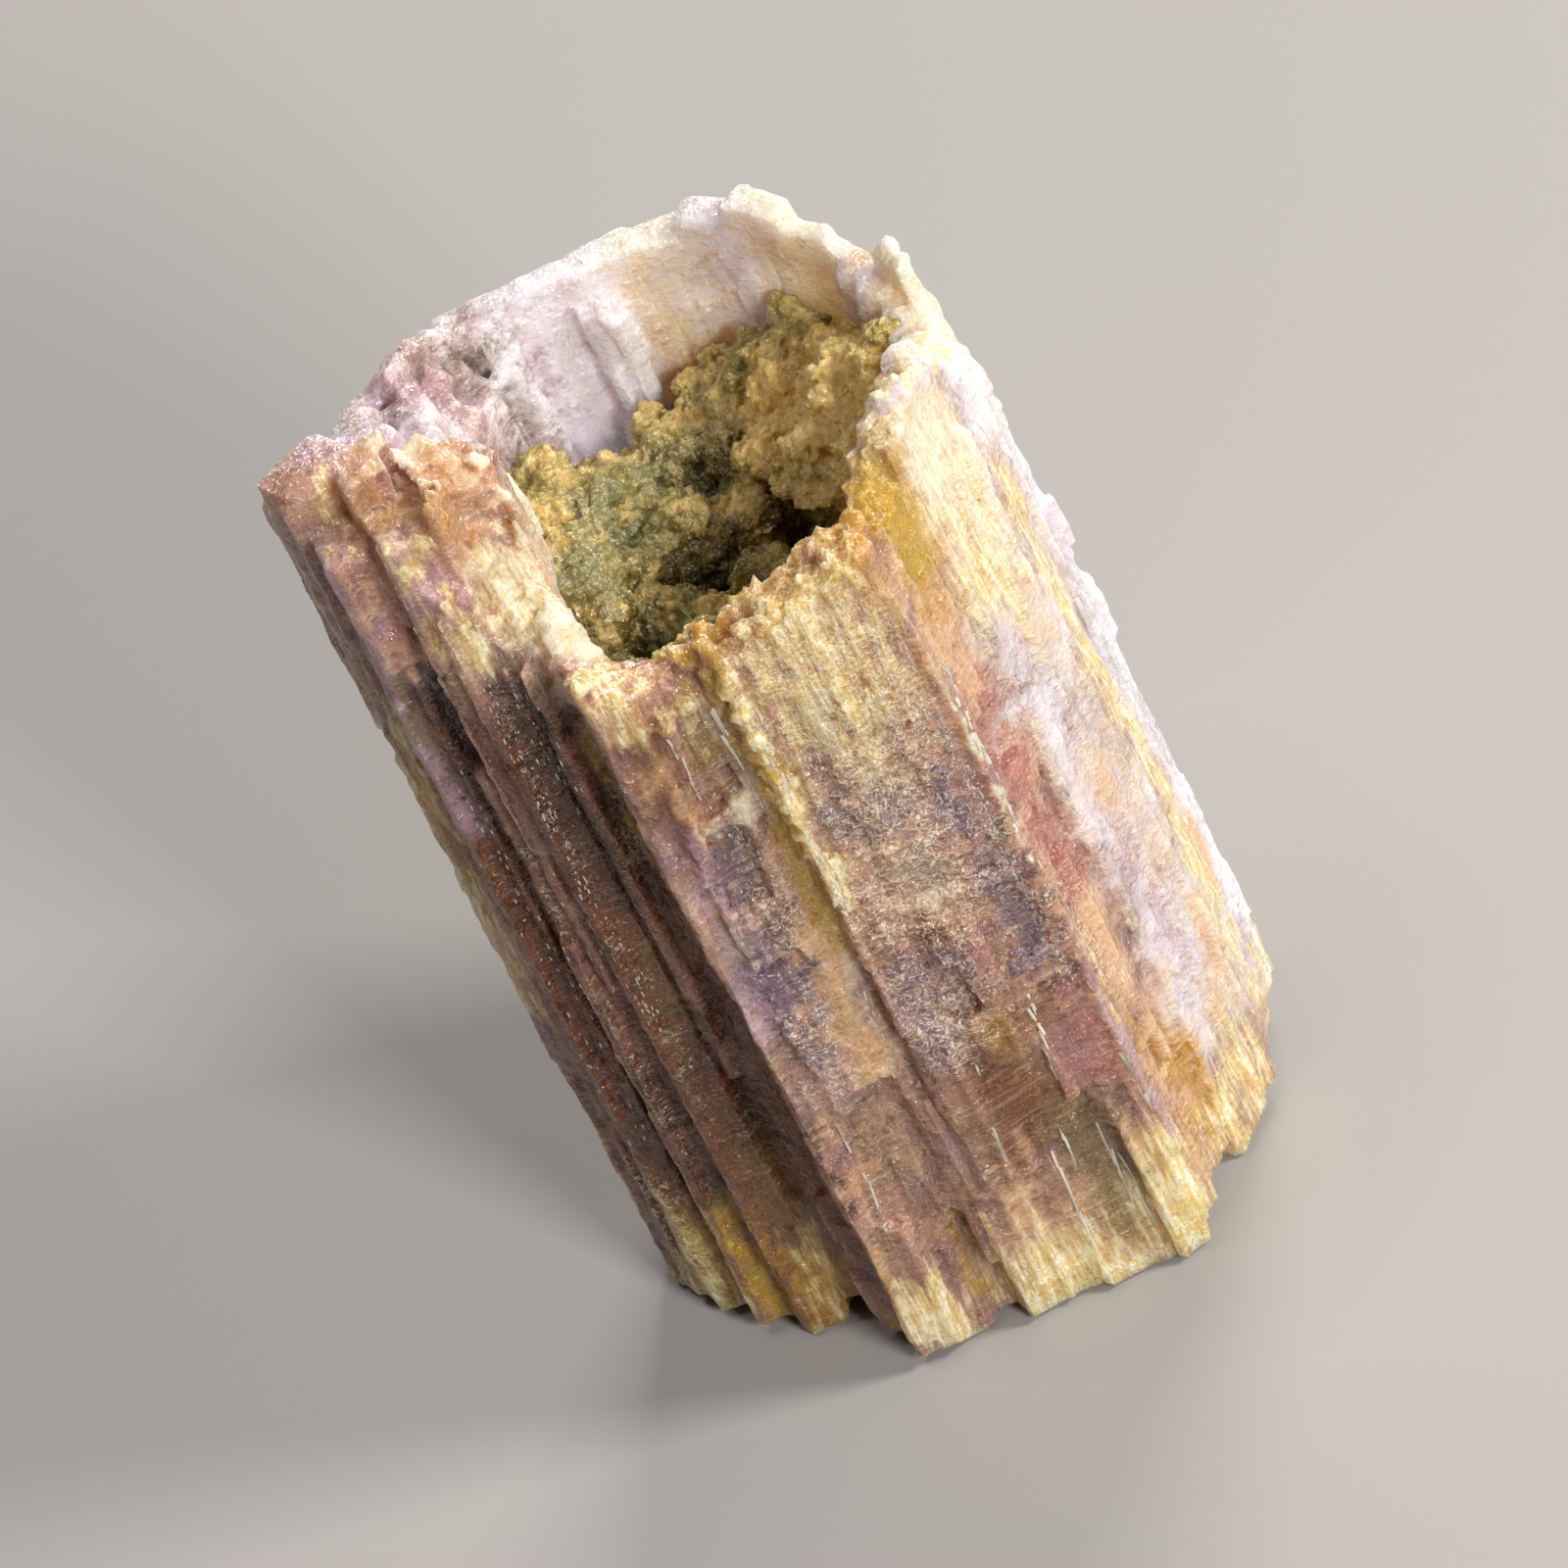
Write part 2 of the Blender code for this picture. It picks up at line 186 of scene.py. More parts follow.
def thin_out(piece, triangles, spare_zone=None):
    """Brings a piece down to this many triangles. A spare zone gives up more of them."""
    now = sum(len(face.vertices) - 2 for face in piece.data.polygons)
    if now <= triangles:
        return
    modifier = piece.modifiers.new("thin out", "DECIMATE")
    modifier.ratio = triangles / now
    if spare_zone:
        modifier.vertex_group = spare_zone
        modifier.vertex_group_factor = 3.0
    apply_modifier(piece, modifier)


def soften(piece, zone, steps):
    modifier = piece.modifiers.new("soften", "SMOOTH")
    modifier.factor = 0.5
    modifier.iterations = steps
    modifier.vertex_group = zone
    apply_modifier(piece, modifier)


def add_grain_axis(name, width, length, turn=0.0):
    """An empty whose scale sets a relief's size across and along the columns, in millimetres."""
    bpy.ops.object.empty_add(location=(0, 0, 0))
    axis = bpy.context.object
    axis.name = name
    axis.scale = (width * MM, width * MM, length * MM)
    axis.rotation_euler = (0.0, 0.0, math.radians(turn))
    bpy.context.view_layer.update()
    return axis


def carve(piece, texture, axis, depth, middle=0.5, direction="NORMAL", zone=None):
    """Raises and sinks a piece's surface by a relief texture, depth in millimetres."""
    modifier = piece.modifiers.new("relief", "DISPLACE")
    modifier.texture = texture
    modifier.texture_coords = "OBJECT"
    modifier.texture_coords_object = axis
    modifier.strength = depth * MM
    modifier.mid_level = middle
    modifier.direction = direction
    if zone:
        modifier.vertex_group = zone
    apply_modifier(piece, modifier)


def clouds(name, size, depth=2, hard=False):
    texture = bpy.data.textures.new(name, "CLOUDS")
    texture.noise_scale = size
    texture.noise_depth = depth
    texture.noise_type = "HARD_NOISE" if hard else "SOFT_NOISE"
    return texture


def cells(name, size, mode="POSITION", weights=(1, 0, 0, 0)):
    texture = bpy.data.textures.new(name, "VORONOI")
    texture.noise_scale = size
    texture.color_mode = mode
    texture.weight_1, texture.weight_2, texture.weight_3, texture.weight_4 = weights
    return texture


def points_of(piece):
    """A piece's points in millimetres."""
    flat = np.empty(len(piece.data.vertices) * 3, np.float32)
    piece.data.vertices.foreach_get("co", flat)
    return flat.reshape(-1, 3) / MM


def facings_of(piece):
    flat = np.empty(len(piece.data.vertices) * 3, np.float32)
    piece.data.vertices.foreach_get("normal", flat)
    return flat.reshape(-1, 3)


def brush(points, strokes):
    """How strongly upright brush strokes cover each point, from 0 to 1.

    A stroke is x, y, lower end, upper end, radius, in millimetres, and strength."""
    cover = np.zeros(len(points), np.float32)
    for x, y, low, high, radius, strength in strokes:
        across = np.hypot(points[:, 0] - x, points[:, 1] - y) / radius
        beyond = np.maximum(low - points[:, 2], points[:, 2] - high).clip(0.0)
        away = np.hypot(across, beyond / (0.8 * radius + 0.3))
        cover = np.maximum(cover, strength * np.exp(-0.7 * away * away))
    return cover


def ragged(points, along):
    """Points moved a little and unevenly, so that brushed edges fray, along the columns or all round."""
    moved = np.empty_like(points)
    for index, (x, y, z) in enumerate(points.tolist()):
        drift = noise.noise_vector((x * 0.7, y * 0.7, z * 0.6))
        small = noise.noise_vector((x * 2.2, y * 2.2, z * 2.2))
        fray = noise.noise((x * 2.6, y * 2.6, z * 0.15))
        moved[index] = (
            x + 0.6 * drift.x + 0.3 * small.x,
            y + 0.6 * drift.y + 0.3 * small.y,
            z + 0.9 * drift.z + 0.4 * small.z + along * fray,
        )
    return moved


def mark_zone(piece, name, weights):
    """A vertex group from one weight for each point."""
    zone = piece.vertex_groups.new(name=name)
    levels = np.round(np.clip(weights, 0.0, 1.0) * 16).astype(int)
    for level in range(1, 17):
        members = np.flatnonzero(levels == level)
        if len(members):
            zone.add(members.tolist(), level / 16, "REPLACE")
    return name


def paint(piece, name, cover):
    """A point attribute that the stone reads."""
    layer = piece.data.attributes.new(name, "FLOAT", "POINT")
    layer.data.foreach_set("value", cover.astype(np.float32))


def fit_in_box(piece, low, high):
    """Scales a piece a little, so that it just stays inside this box."""
    points = points_of(piece) * MM
    now_low, now_high = points.min(0), points.max(0)
    grow = [(high[i] - low[i]) / (now_high[i] - now_low[i]) for i in range(3)]
    pick(piece)
    bpy.ops.object.mode_set(mode="EDIT")
    bpy.ops.mesh.select_all(action="SELECT")
    bpy.ops.transform.resize(value=grow, center_override=(0.0, 0.0, 0.0))
    shift = [low[i] - now_low[i] * grow[i] for i in range(3)]
    bpy.ops.transform.translate(value=shift)
    bpy.ops.object.mode_set(mode="OBJECT")


# ------------------------------------------------------------------ the stone's colours

def pigment(red, green, blue):
    """A colour of 0 to 255, as a linear one."""
    parts = []
    for value in (red, green, blue):
        share = value / 255
        parts.append(share / 12.92 if share <= 0.04045 else ((share + 0.055) / 1.055) ** 2.4)
    return (*parts, 1.0)


PIGMENTS = {
    # Umber: a real dark brown, and also painted shade on the left side, which the lights leave dark, and in the
    # corners where the crust meets the walls.
    "umber_and_shade": pigment(106, 50, 10),
    # Blush: a pale pink, partly painted glow: it makes the back wall and the right side nearly white, as light shining
    # on and through them would.
    "blush_and_glow": pigment(234, 231, 241),
    "peach": pigment(222, 180, 138),
    "lilac": pigment(190, 158, 176),
    "rose": pigment(170, 104, 98),
    "smoke": pigment(122, 104, 58),
    "violet": pigment(110, 94, 112),
    "gold": pigment(194, 145, 40),
    "olive": pigment(186, 150, 44),
    # Maroon: a real dark maroon, and also painted shade in clefts between columns, on the shaded left side and in the
    # pits of the crust.
    "maroon_and_shade": pigment(58, 27, 8),
    "sugar": pigment(250, 228, 192),
    "cream": pigment(246, 222, 148),
    # White: real pale crystal matter, and also painted glow on the inner right wall and the back wall.
    "white_and_glow": pigment(240, 226, 198),
}
# Where each pigment lies: x, y, lower end, upper end and radius, in millimetres, and strength.
PAINT_STROKES = {
    "lilac": (
        (-12.1, -2.7, 29.4, 46.7, 0.93, 1.0), (-10.2, -1.2, 46.9, 46.9, 1.55, 0.7),
        (-7.8, 7.2, 39.8, 41.0, 2.32, 0.7), (-8.8, 4.2, 40.0, 43.5, 2.0, 0.8),
        (-10.4, 1.8, 43.0, 46.0, 1.8, 0.6), (-8.6, -5.0, 42.0, 44.8, 1.2, 0.9),
        (-5.0, -10.3, 24.6, 30.1, 0.85, 0.7), (-5.2, -10.3, 20.0, 23.0, 0.85, 0.9),
        (-4.5, -10.6, 15.1, 17.4, 1.08, 0.6), (0.1, -11.4, 16.2, 18.1, 1.16, 0.6),
        (-1.4, -10.9, 8.4, 11.0, 0.62, 0.5), (6.6, -11.5, 5.9, 15.1, 0.5, 0.9),
        (9.8, -6.9, 9.5, 13.8, 0.7, 0.7), (9.5, -7.4, 7.6, 21.8, 0.39, 0.5),
    ),
    # Partly painted shade: the narrow lines here darken the clefts beside the columns, and the broad strokes darken
    # the left side.
    "maroon_and_shade": (
        (-11.0, -3.2, 29.0, 36.0, 0.8, 0.8),
        (-11.3, -3.1, 7.4, 29.0, 1.63, 0.55), (-10.3, -4.6, 7.5, 14.6, 0.62, 0.8),
        (-7.7, -6.0, 25.6, 36.3, 1.39, 1.0), (-7.2, -7.3, 16.9, 19.3, 1.01, 0.7),
        (-7.5, -5.8, 11.8, 16.7, 1.32, 0.85), 
        (-9.4, -5.9, 20.9, 28.5, 0.35, 1.0), (-6.1, -8.1, 26.0, 34.3, 0.35, 1.0),
        (-5.9, -10.3, 8.8, 18.1, 0.31, 1.0), (4.7, -11.6, 15.6, 16.2, 0.77, 0.6),
        (-2.6, -9.8, 4.3, 5.5, 0.35, 0.6), (6.2, -11.5, 16.7, 23.5, 0.31, 0.5),
    ),
    "sugar": (
        (-10.7, -4.2, 24.1, 27.9, 1.01, 0.35), (-11.1, -3.5, 19.4, 21.2, 0.85, 0.35),
        (-10.5, -4.8, 15.3, 19.9, 0.85, 0.35), (-6.7, -7.0, 28.0, 29.0, 0.46, 0.6),
        (-3.1, -10.9, 24.4, 26.2, 0.85, 0.7), (2.5, -11.7, 22.0, 29.0, 2.5, 0.62), (1.8, -11.6, 22.4, 25.4, 2.2, 0.9),
        (2.5, -11.5, 29.8, 37.7, 2.5, 0.85), (3.9, -11.5, 30.3, 32.7, 1.16, 0.7),
        (0.7, -11.4, 16.0, 18.6, 1.32, 0.8), (-0.6, -11.5, 15.4, 24.7, 0.46, 0.9),
        (8.7, -8.1, 12.2, 32.5, 0.46, 0.7), (9.7, -6.8, 7.0, 10.1, 0.54, 0.7),
        (7.7, -9.0, 29.1, 33.3, 0.77, 0.2), (5.6, -11.6, 16.6, 31.8, 0.35, 0.9),
        (-4.5, -10.6, 15.3, 19.4, 0.93, 0.6), (-8.8, -5.9, 13.9, 40.8, 0.5, 0.3),
        (10.6, -6.3, 5.2, 36.0, 1.74, 0.5), 
        (7.3, -10.0, 13.2, 19.3, 0.85, 0.5),
    ),
    "olive": (
        (-12.0, -2.6, 3.0, 7.7, 0.93, 0.35), (-10.0, -4.5, 0.7, 7.4, 0.5, 0.9),
        (-10.9, -4.3, 3.6, 7.3, 0.27, 0.9),
        (-6.2, -7.4, 28.3, 34.6, 0.35, 0.9), (-1.1, -10.7, 24.0, 37.6, 0.55, 1.0),
        (-1.5, -10.6, 22.6, 29.6, 0.45, 0.9), (2.5, -11.5, 11.1, 15.7, 1.01, 0.4),
        (-2.6, -9.8, 2.2, 5.5, 0.46, 1.0), (-1.2, -10.8, 1.1, 5.3, 0.19, 0.7),
        (7.0, -10.1, 10.2, 11.1, 0.31, 1.0), (7.4, -8.4, 36.5, 41.0, 1.3, 1.0),
    ),
    "cream": (
        (-11.6, -2.9, 44.3, 44.6, 0.25, 0.8), (-10.9, -3.1, 44.3, 44.6, 0.25, 0.8),
        (-8.6, -5.6, 38.5, 41.5, 0.7, 0.9), (-10.6, -1.4, 45.2, 46.2, 0.5, 0.7),
        (-9.9, -4.6, 44.8, 45.2, 0.3, 0.8), (-9.2, -5.0, 44.8, 45.2, 0.3, 0.8),
        (-8.5, -5.0, 44.8, 45.2, 0.3, 0.9), (-7.8, -5.0, 44.6, 45.2, 0.3, 0.9),
        (-11.8, -2.7, 1.6, 5.2, 0.93, 0.45), (-7.9, -6.2, 0.8, 4.4, 1.16, 0.4),
        (-9.7, -5.2, 38.4, 44.3, 0.23, 0.9), (-6.2, -5.0, 37.5, 42.0, 1.16, 1.0),
        (-4.9, -10.3, 36.7, 38.6, 0.93, 0.7),
        (-2.6, -10.5, 35.4, 35.9, 0.85, 0.6), (-4.7, -10.3, 0.3, 3.7, 1.01, 1.0),
        (-0.6, -11.5, 25.7, 35.7, 0.5, 1.0), (-0.4, -11.3, 36.0, 38.4, 0.46, 0.9),
        (1.4, -11.3, 35.2, 38.0, 1.08, 0.5), (2.8, -11.7, 34.9, 37.8, 1.39, 0.5),
        (0.2, -10.8, 0.3, 2.2, 1.32, 0.9), (-1.6, -10.6, 2.5, 6.1, 0.23, 0.6),
        (2.7, -11.0, 0.2, 1.2, 0.93, 0.8), (5.9, -11.4, 0.6, 5.6, 1.24, 1.0),
        (6.6, -11.4, 19.1, 23.6, 0.19, 0.9), (6.8, -10.6, 12.6, 18.3, 0.19, 0.9),
        (10.1, -6.6, 31.1, 38.9, 1.94, 0.8), (12.1, -3.8, 4.0, 33.5, 0.93, 0.8),
        (8.3, -8.3, 32.7, 36.1, 0.93, 0.3), (-2.7, -10.1, 7.2, 14.3, 0.39, 0.3),
    ),
    "smoke": (
        (-4.4, 9.0, 33.0, 40.0, 2.2, 0.62), (-8.2, 6.0, 38.0, 43.0, 2.0, 0.45),
        (-11.7, -2.8, 32.6, 37.5, 0.43, 1.0),
        (-8.2, -5.9, 4.1, 13.0, 1.08, 0.6), (-7.8, -6.1, 18.6, 23.7, 1.55, 0.5),
        (-8.8, -6.0, 13.9, 20.9, 0.46, 0.6), (-2.6, -10.5, 31.7, 35.1, 0.77, 0.8),
        (-3.4, -10.7, 27.0, 29.9, 1.01, 0.6), (-3.8, -10.4, 7.3, 14.1, 0.85, 0.6),
        (-0.1, -11.3, 8.3, 13.9, 1.39, 0.4), (3.3, -11.1, 2.5, 8.9, 1.32, 1.0),
    ),
    "rose": (
        (-11.0, -3.2, 14.0, 20.0, 0.9, 0.5),
        (10.2, -6.8, 22.6, 23.6, 0.7, 0.6), (11.6, -5.0, 29.0, 30.0, 0.7, 0.6),
        (10.9, -5.9, 12.6, 14.0, 0.8, 0.6), (12.2, -3.6, 16.0, 18.0, 0.9, 0.5),
        (9.9, -6.8, 16.2, 17.4, 0.7, 0.6), (11.8, -4.6, 33.0, 34.0, 0.6, 0.6), (10.6, -6.3, 30.4, 31.0, 0.6, 0.5),
        (9.9, -7.0, 27.0, 27.8, 0.5, 0.5), (11.0, -5.8, 20.8, 21.6, 0.6, 0.5),
        (-10.6, -3.7, 38.8, 44.2, 0.93, 0.6), (-8.4, -5.3, 41.5, 44.5, 1.24, 0.5),
        (2.5, -11.7, 20.4, 23.9, 2.32, 0.45), (-0.4, -11.3, 8.3, 13.9, 1.39, 0.35),
        (4.9, -11.7, 11.2, 15.8, 1.01, 0.8), (7.6, -9.3, 24.6, 28.4, 1.3, 1.0), (7.6, -9.3, 18.8, 22.4, 1.3, 1.0),
        (7.8, -9.1, 29.0, 36.0, 1.0, 0.35),
        (7.6, -9.5, 24.0, 25.8, 0.77, 0.6), (7.4, -9.4, 19.7, 23.1, 0.97, 1.0),
        (10.5, -6.5, 34.7, 35.5, 0.46, 0.7), (10.3, -6.5, 31.1, 32.1, 0.54, 0.7),
        (10.7, -6.1, 25.9, 26.4, 0.39, 0.7), (11.1, -5.6, 18.4, 21.7, 0.5, 0.6),
        (8.7, -8.1, 15.9, 20.5, 0.39, 0.5),
    ),
    "violet": (
        (-10.4, -3.3, 34.1, 37.8, 0.7, 0.7), (-3.6, -10.7, 26.9, 29.9, 0.93, 0.5),
        (-4.1, -10.7, 26.7, 27.7, 0.39, 0.9), (-3.9, -10.7, 19.9, 23.6, 0.77, 1.0),
        (-4.6, -10.6, 17.6, 19.4, 1.08, 0.6), (1.4, -11.5, 28.8, 31.0, 1.47, 0.55),
        (3.9, -11.5, 30.3, 33.2, 1.08, 0.5), (1.2, -11.3, 27.0, 27.6, 0.39, 1.0),
        (4.7, -11.5, 27.4, 28.5, 0.62, 1.0), (1.4, -11.5, 17.7, 19.5, 1.16, 0.6),
        (4.7, -11.6, 18.6, 22.8, 1.1, 1.0), (5.6, -11.6, 16.6, 32.6, 0.35, 0.9),
        (0.9, -11.4, 27.8, 29.4, 0.9, 1.0), (2.4, -11.5, 28.0, 29.0, 0.9, 0.9),
        (4.5, -11.5, 26.4, 27.8, 0.8, 1.0), (-3.9, -10.7, 26.6, 28.6, 0.8, 1.0),
        (-4.2, -10.7, 20.4, 24.6, 1.0, 1.0), (0.2, -11.4, 16.4, 19.6, 1.2, 0.8),
        (2.6, -11.5, 24.0, 25.4, 0.7, 0.7),
        (8.9, -8.0, 27.0, 30.9, 0.23, 1.0), (10.0, -6.9, 35.2, 35.8, 0.5, 0.5),
        (10.4, -6.5, 25.0, 25.6, 0.5, 0.5), (11.6, -4.9, 24.0, 24.6, 0.5, 0.4), (9.1, -8.0, 14.8, 17.8, 0.27, 0.7),
    ),
    "gold": (
        (-7.7, -4.8, 44.7, 45.5, 1.74, 0.6), (-9.5, -2.7, 45.3, 46.9, 1.01, 0.5),
        (-4.2, -10.6, 35.6, 36.5, 0.46, 0.5), (-5.8, -10.4, 2.8, 7.2, 0.46, 0.6),
        (-6.4, -8.4, 1.1, 1.9, 0.39, 0.9), (-1.3, -9.9, 22.0, 26.0, 0.6, 0.7),
        (-1.5, -10.0, 24.1, 29.6, 0.46, 0.8), (-2.0, -10.6, 20.1, 23.8, 0.5, 0.4),
        (-2.6, -10.7, 15.4, 19.9, 0.4, 0.35), (1.4, -11.3, 35.2, 38.0, 1.16, 0.7),
        (3.7, -11.5, 34.2, 37.4, 1.01, 0.6), (4.6, -11.3, 0.6, 2.7, 0.35, 0.9),
        (6.1, -11.5, 23.7, 32.7, 0.31, 0.6), (7.5, -9.2, 34.1, 36.8, 1.16, 0.6),
        (7.9, -8.2, 2.7, 8.4, 0.77, 0.9), (12.0, -3.7, 21.9, 29.4, 0.35, 0.5),
        (7.2, -7.9, 35.4, 39.2, 0.7, 1.0), (7.4, -8.6, 36.8, 41.0, 1.2, 1.0), (2.1, -11.2, 38.9, 39.5, 1.55, 0.8),
        (5.0, -11.4, 39.3, 39.9, 1.55, 0.8), (3.4, -11.5, 33.7, 36.4, 1.55, 0.5),
        (0.8, -11.3, 37.5, 38.4, 1.16, 0.6), (10.1, -6.4, 39.4, 40.8, 1.55, 0.5),
    ),
    "white_and_glow": (
        (-6.0, -4.6, 38.4, 41.6, 1.6, 0.8),
        (-5.4, -6.6, 37.0, 41.0, 1.1, 1.0), (-4.6, -3.0, 37.0, 43.0, 1.0, 0.9),
        (-4.6, -1.2, 37.0, 43.0, 0.8, 0.7), (-4.6, -0.2, 36.0, 43.0, 1.0, 1.0), (-5.1, -10.3, 24.3, 25.6, 0.62, 0.4),
        (-2.3, -10.7, 30.7, 31.2, 0.54, 0.8), (-4.0, -10.7, 30.2, 30.7, 0.54, 0.6),
        (-5.1, -10.3, 0.3, 1.6, 0.54, 0.6), (-0.6, -11.6, 24.0, 35.6, 0.3, 0.4),
        (-1.5, -10.4, 20.2, 23.0, 0.3, 0.5), (-1.8, -10.5, 14.9, 19.8, 0.3, 0.5),
        (3.3, -11.5, 37.9, 38.7, 0.6, 0.4), (6.5, -11.6, 28.3, 32.8, 0.3, 0.9),
        (6.3, -11.6, 23.9, 28.3, 0.28, 0.85), (8.6, -8.1, 13.2, 14.2, 0.35, 0.8),
        (8.8, -7.9, 9.1, 10.1, 0.5, 0.9), (10.9, -5.7, 25.4, 35.3, 1.4, 0.4),
        (11.4, -5.5, 4.8, 25.1, 1.3, 0.4), (10.4, -6.5, 36.5, 39.7, 1.94, 0.8), (10.9, -6.0, 18.6, 19.4, 0.5, 0.6),
        (11.6, 0.6, 35.0, 41.0, 2.2, 1.0),
    ),
    "peach": (
        (10.6, -6.4, 27.0, 29.6, 1.0, 0.8), (11.8, -4.6, 20.0, 23.6, 1.1, 0.8),
        (10.2, -6.6, 19.0, 21.0, 0.9, 0.8), (12.4, -3.0, 10.0, 14.0, 1.1, 0.8),
        (11.2, -5.4, 7.0, 10.0, 1.0, 0.8), (12.3, -3.2, 31.0, 34.0, 0.9, 0.8),
        (-4.7, -10.3, 31.5, 36.5, 1.01, 0.5), (-2.3, -10.7, 20.0, 24.0, 0.8, 1.0), (-2.7, -10.7, 14.8, 20.0, 0.7, 1.0),
        (0.2, -10.8, 2.7, 6.3, 1.24, 0.8), (5.1, -11.5, 5.4, 8.5, 0.58, 0.8),
        (7.5, -9.3, 28.6, 37.4, 1.2, 1.0), (7.4, -9.6, 23.0, 24.4, 0.8, 0.6), (-11.0, -3.2, 38.0, 44.2, 1.0, 0.8), (7.7, -9.3, 11.3, 18.6, 1.08, 0.9),
        (10.3, -6.5, 0.6, 6.8, 1.08, 0.9),
    ),
    "umber_and_shade": (
        (2.9, -11.5, 10.6, 15.8, 1.55, 0.5), (1.6, -11.4, 9.9, 13.9, 2.0, 0.8),
        (-4.9, -10.3, 29.0, 36.0, 1.0, 0.85), (1.6, -11.5, 18.4, 21.0, 0.6, 0.8),
    ),
}



def stains_round_the_back(dice):
    """More of the same strokes round the sides and the back, where every pigment returns."""
    strokes = {}
    for index in range(150):
        name = ("lilac", "rose", "sugar", "cream", "violet", "gold", "white_and_glow", "maroon_and_shade")[index % 8]
        turn = math.radians(dice.uniform(8.0, 192.0))
        low = dice.uniform(0.0, 18.0 if name in ("violet", "maroon_and_shade", "rose") else 34.0)
        stroke = (
            12.7 * math.cos(turn), 10.9 * math.sin(turn), low, low + dice.uniform(1.0, 9.0),
            dice.uniform(0.5, 1.6), dice.uniform(0.4, 0.85),
        )
        strokes.setdefault(name, []).append(stroke)
    for index in range(24):
        turn = math.radians(-20.0 + 220.0 * index / 23)
        foot = (12.4 * math.cos(turn), 10.6 * math.sin(turn), 0.0, dice.uniform(0.5, 4.0), 1.3, 0.7)
        strokes.setdefault("cream" if index % 3 else "gold", []).append(foot)
    return strokes


# Broad grounds under the pigments, in the same form.
GROUNDS = {
    "cream": (
        (-4.5, -10.4, 0.0, 2.8, 1.4, 0.8), (0.2, -10.9, 0.0, 2.0, 2.4, 0.9),
        (5.5, -11.2, 0.0, 4.0, 1.6, 0.9), (8.6, -8.2, 0.0, 3.0, 1.5, 0.7),
        (10.3, -6.5, 0.0, 5.0, 1.3, 0.7), (-8.0, -6.1, 0.0, 1.2, 1.2, 0.4), (2.6, -11.4, 34.0, 39.0, 3.0, 0.55),
    ),
    "gold": (
        (-11.4, -3.2, 0.0, 6.0, 1.6, 0.7), (-8.0, -6.1, 0.0, 3.4, 1.6, 0.7), (-9.6, -5.2, 1.5, 7.0, 0.9, 0.5),
        (-6.8, -0.2, 40.0, 43.0, 1.2, 0.5), (-10.6, -1.4, 44.0, 46.4, 1.2, 0.45),
        (7.6, -6.9, 33.0, 38.6, 1.3, 0.95), (2.8, -11.5, 32.5, 38.0, 3.0, 0.5),
        (7.6, -9.0, 3.0, 9.0, 1.2, 0.5), (-3.0, -10.8, 33.0, 36.0, 1.4, 0.4),
    ),
    # Painted glow: these grounds brighten the inner right wall and the back wall, as light coming through them would.
    "white_and_glow": ((9.6, 7.0, 30.0, 42.0, 2.6, 0.8), (4.0, 10.0, 30.0, 42.0, 2.6, 0.6)),
    "lilac": (
        (-2.0, 10.6, 34.0, 39.0, 0.7, 0.6), (3.4, 10.4, 33.0, 38.5, 0.6, 0.6),
        (6.4, 10.0, 36.0, 41.0, 0.7, 0.7), (-4.4, 10.4, 33.0, 39.0, 0.8, 0.6),
        (0.6, 10.4, 36.0, 40.0, 0.5, 0.5), (-7.6, 7.6, 32.0, 41.5, 1.6, 0.8),
        (-5.4, 8.0, 34.0, 41.0, 1.8, 0.8),
    ),
    # Partly painted shade: these broad grounds darken the left side and the corners where the crust meets the back and
    # left walls.
    "umber_and_shade": (
        (-11.8, -3.0, 2.0, 36.0, 2.6, 0.9), (-8.6, -6.0, 1.0, 34.0, 2.4, 0.9),
        (-12.8, 1.5, 4.0, 26.0, 2.0, 0.7), (-6.4, -7.6, 4.0, 32.0, 1.2, 0.9),
        (-7.0, -0.4, 38.0, 41.0, 1.6, 0.4), (-6.2, 3.0, 34.0, 41.0, 1.8, 0.45),
        (-2.2, 9.0, 28.0, 34.5, 1.2, 0.15),
        (-5.4, 8.6, 28.0, 37.0, 1.5, 0.6), (-7.0, 7.2, 28.0, 37.0, 1.6, 0.6),
        (6.0, -10.2, 38.0, 40.0, 0.8, 0.4),
    ),
    # Partly painted glow: these grounds turn the back wall, the inner left wall and the right side nearly white, where
    # light falls on or through them.
    "blush_and_glow": (
        (0.6, 9.8, 31.0, 44.0, 5.6, 1.0), (7.0, 8.6, 31.0, 44.0, 4.0, 0.9),
        (-9.0, 5.0, 36.0, 46.0, 4.0, 0.9), (-10.0, 0.0, 40.0, 48.0, 2.6, 0.2),
        (10.5, -7.0, 6.0, 42.0, 2.8, 0.82), (13.0, -1.0, 0.0, 44.0, 4.0, 0.82),
        (12.0, 5.0, 0.0, 44.0, 4.0, 0.9),
    ),
    "peach": (
        (7.6, -9.0, 2.0, 24.0, 1.6, 0.7), (10.5, -6.5, 14.0, 18.0, 1.2, 0.5),
        (12.6, -2.5, 26.0, 30.0, 1.4, 0.5), (3.0, -11.0, 0.0, 5.0, 4.0, 0.6),
    ),
}


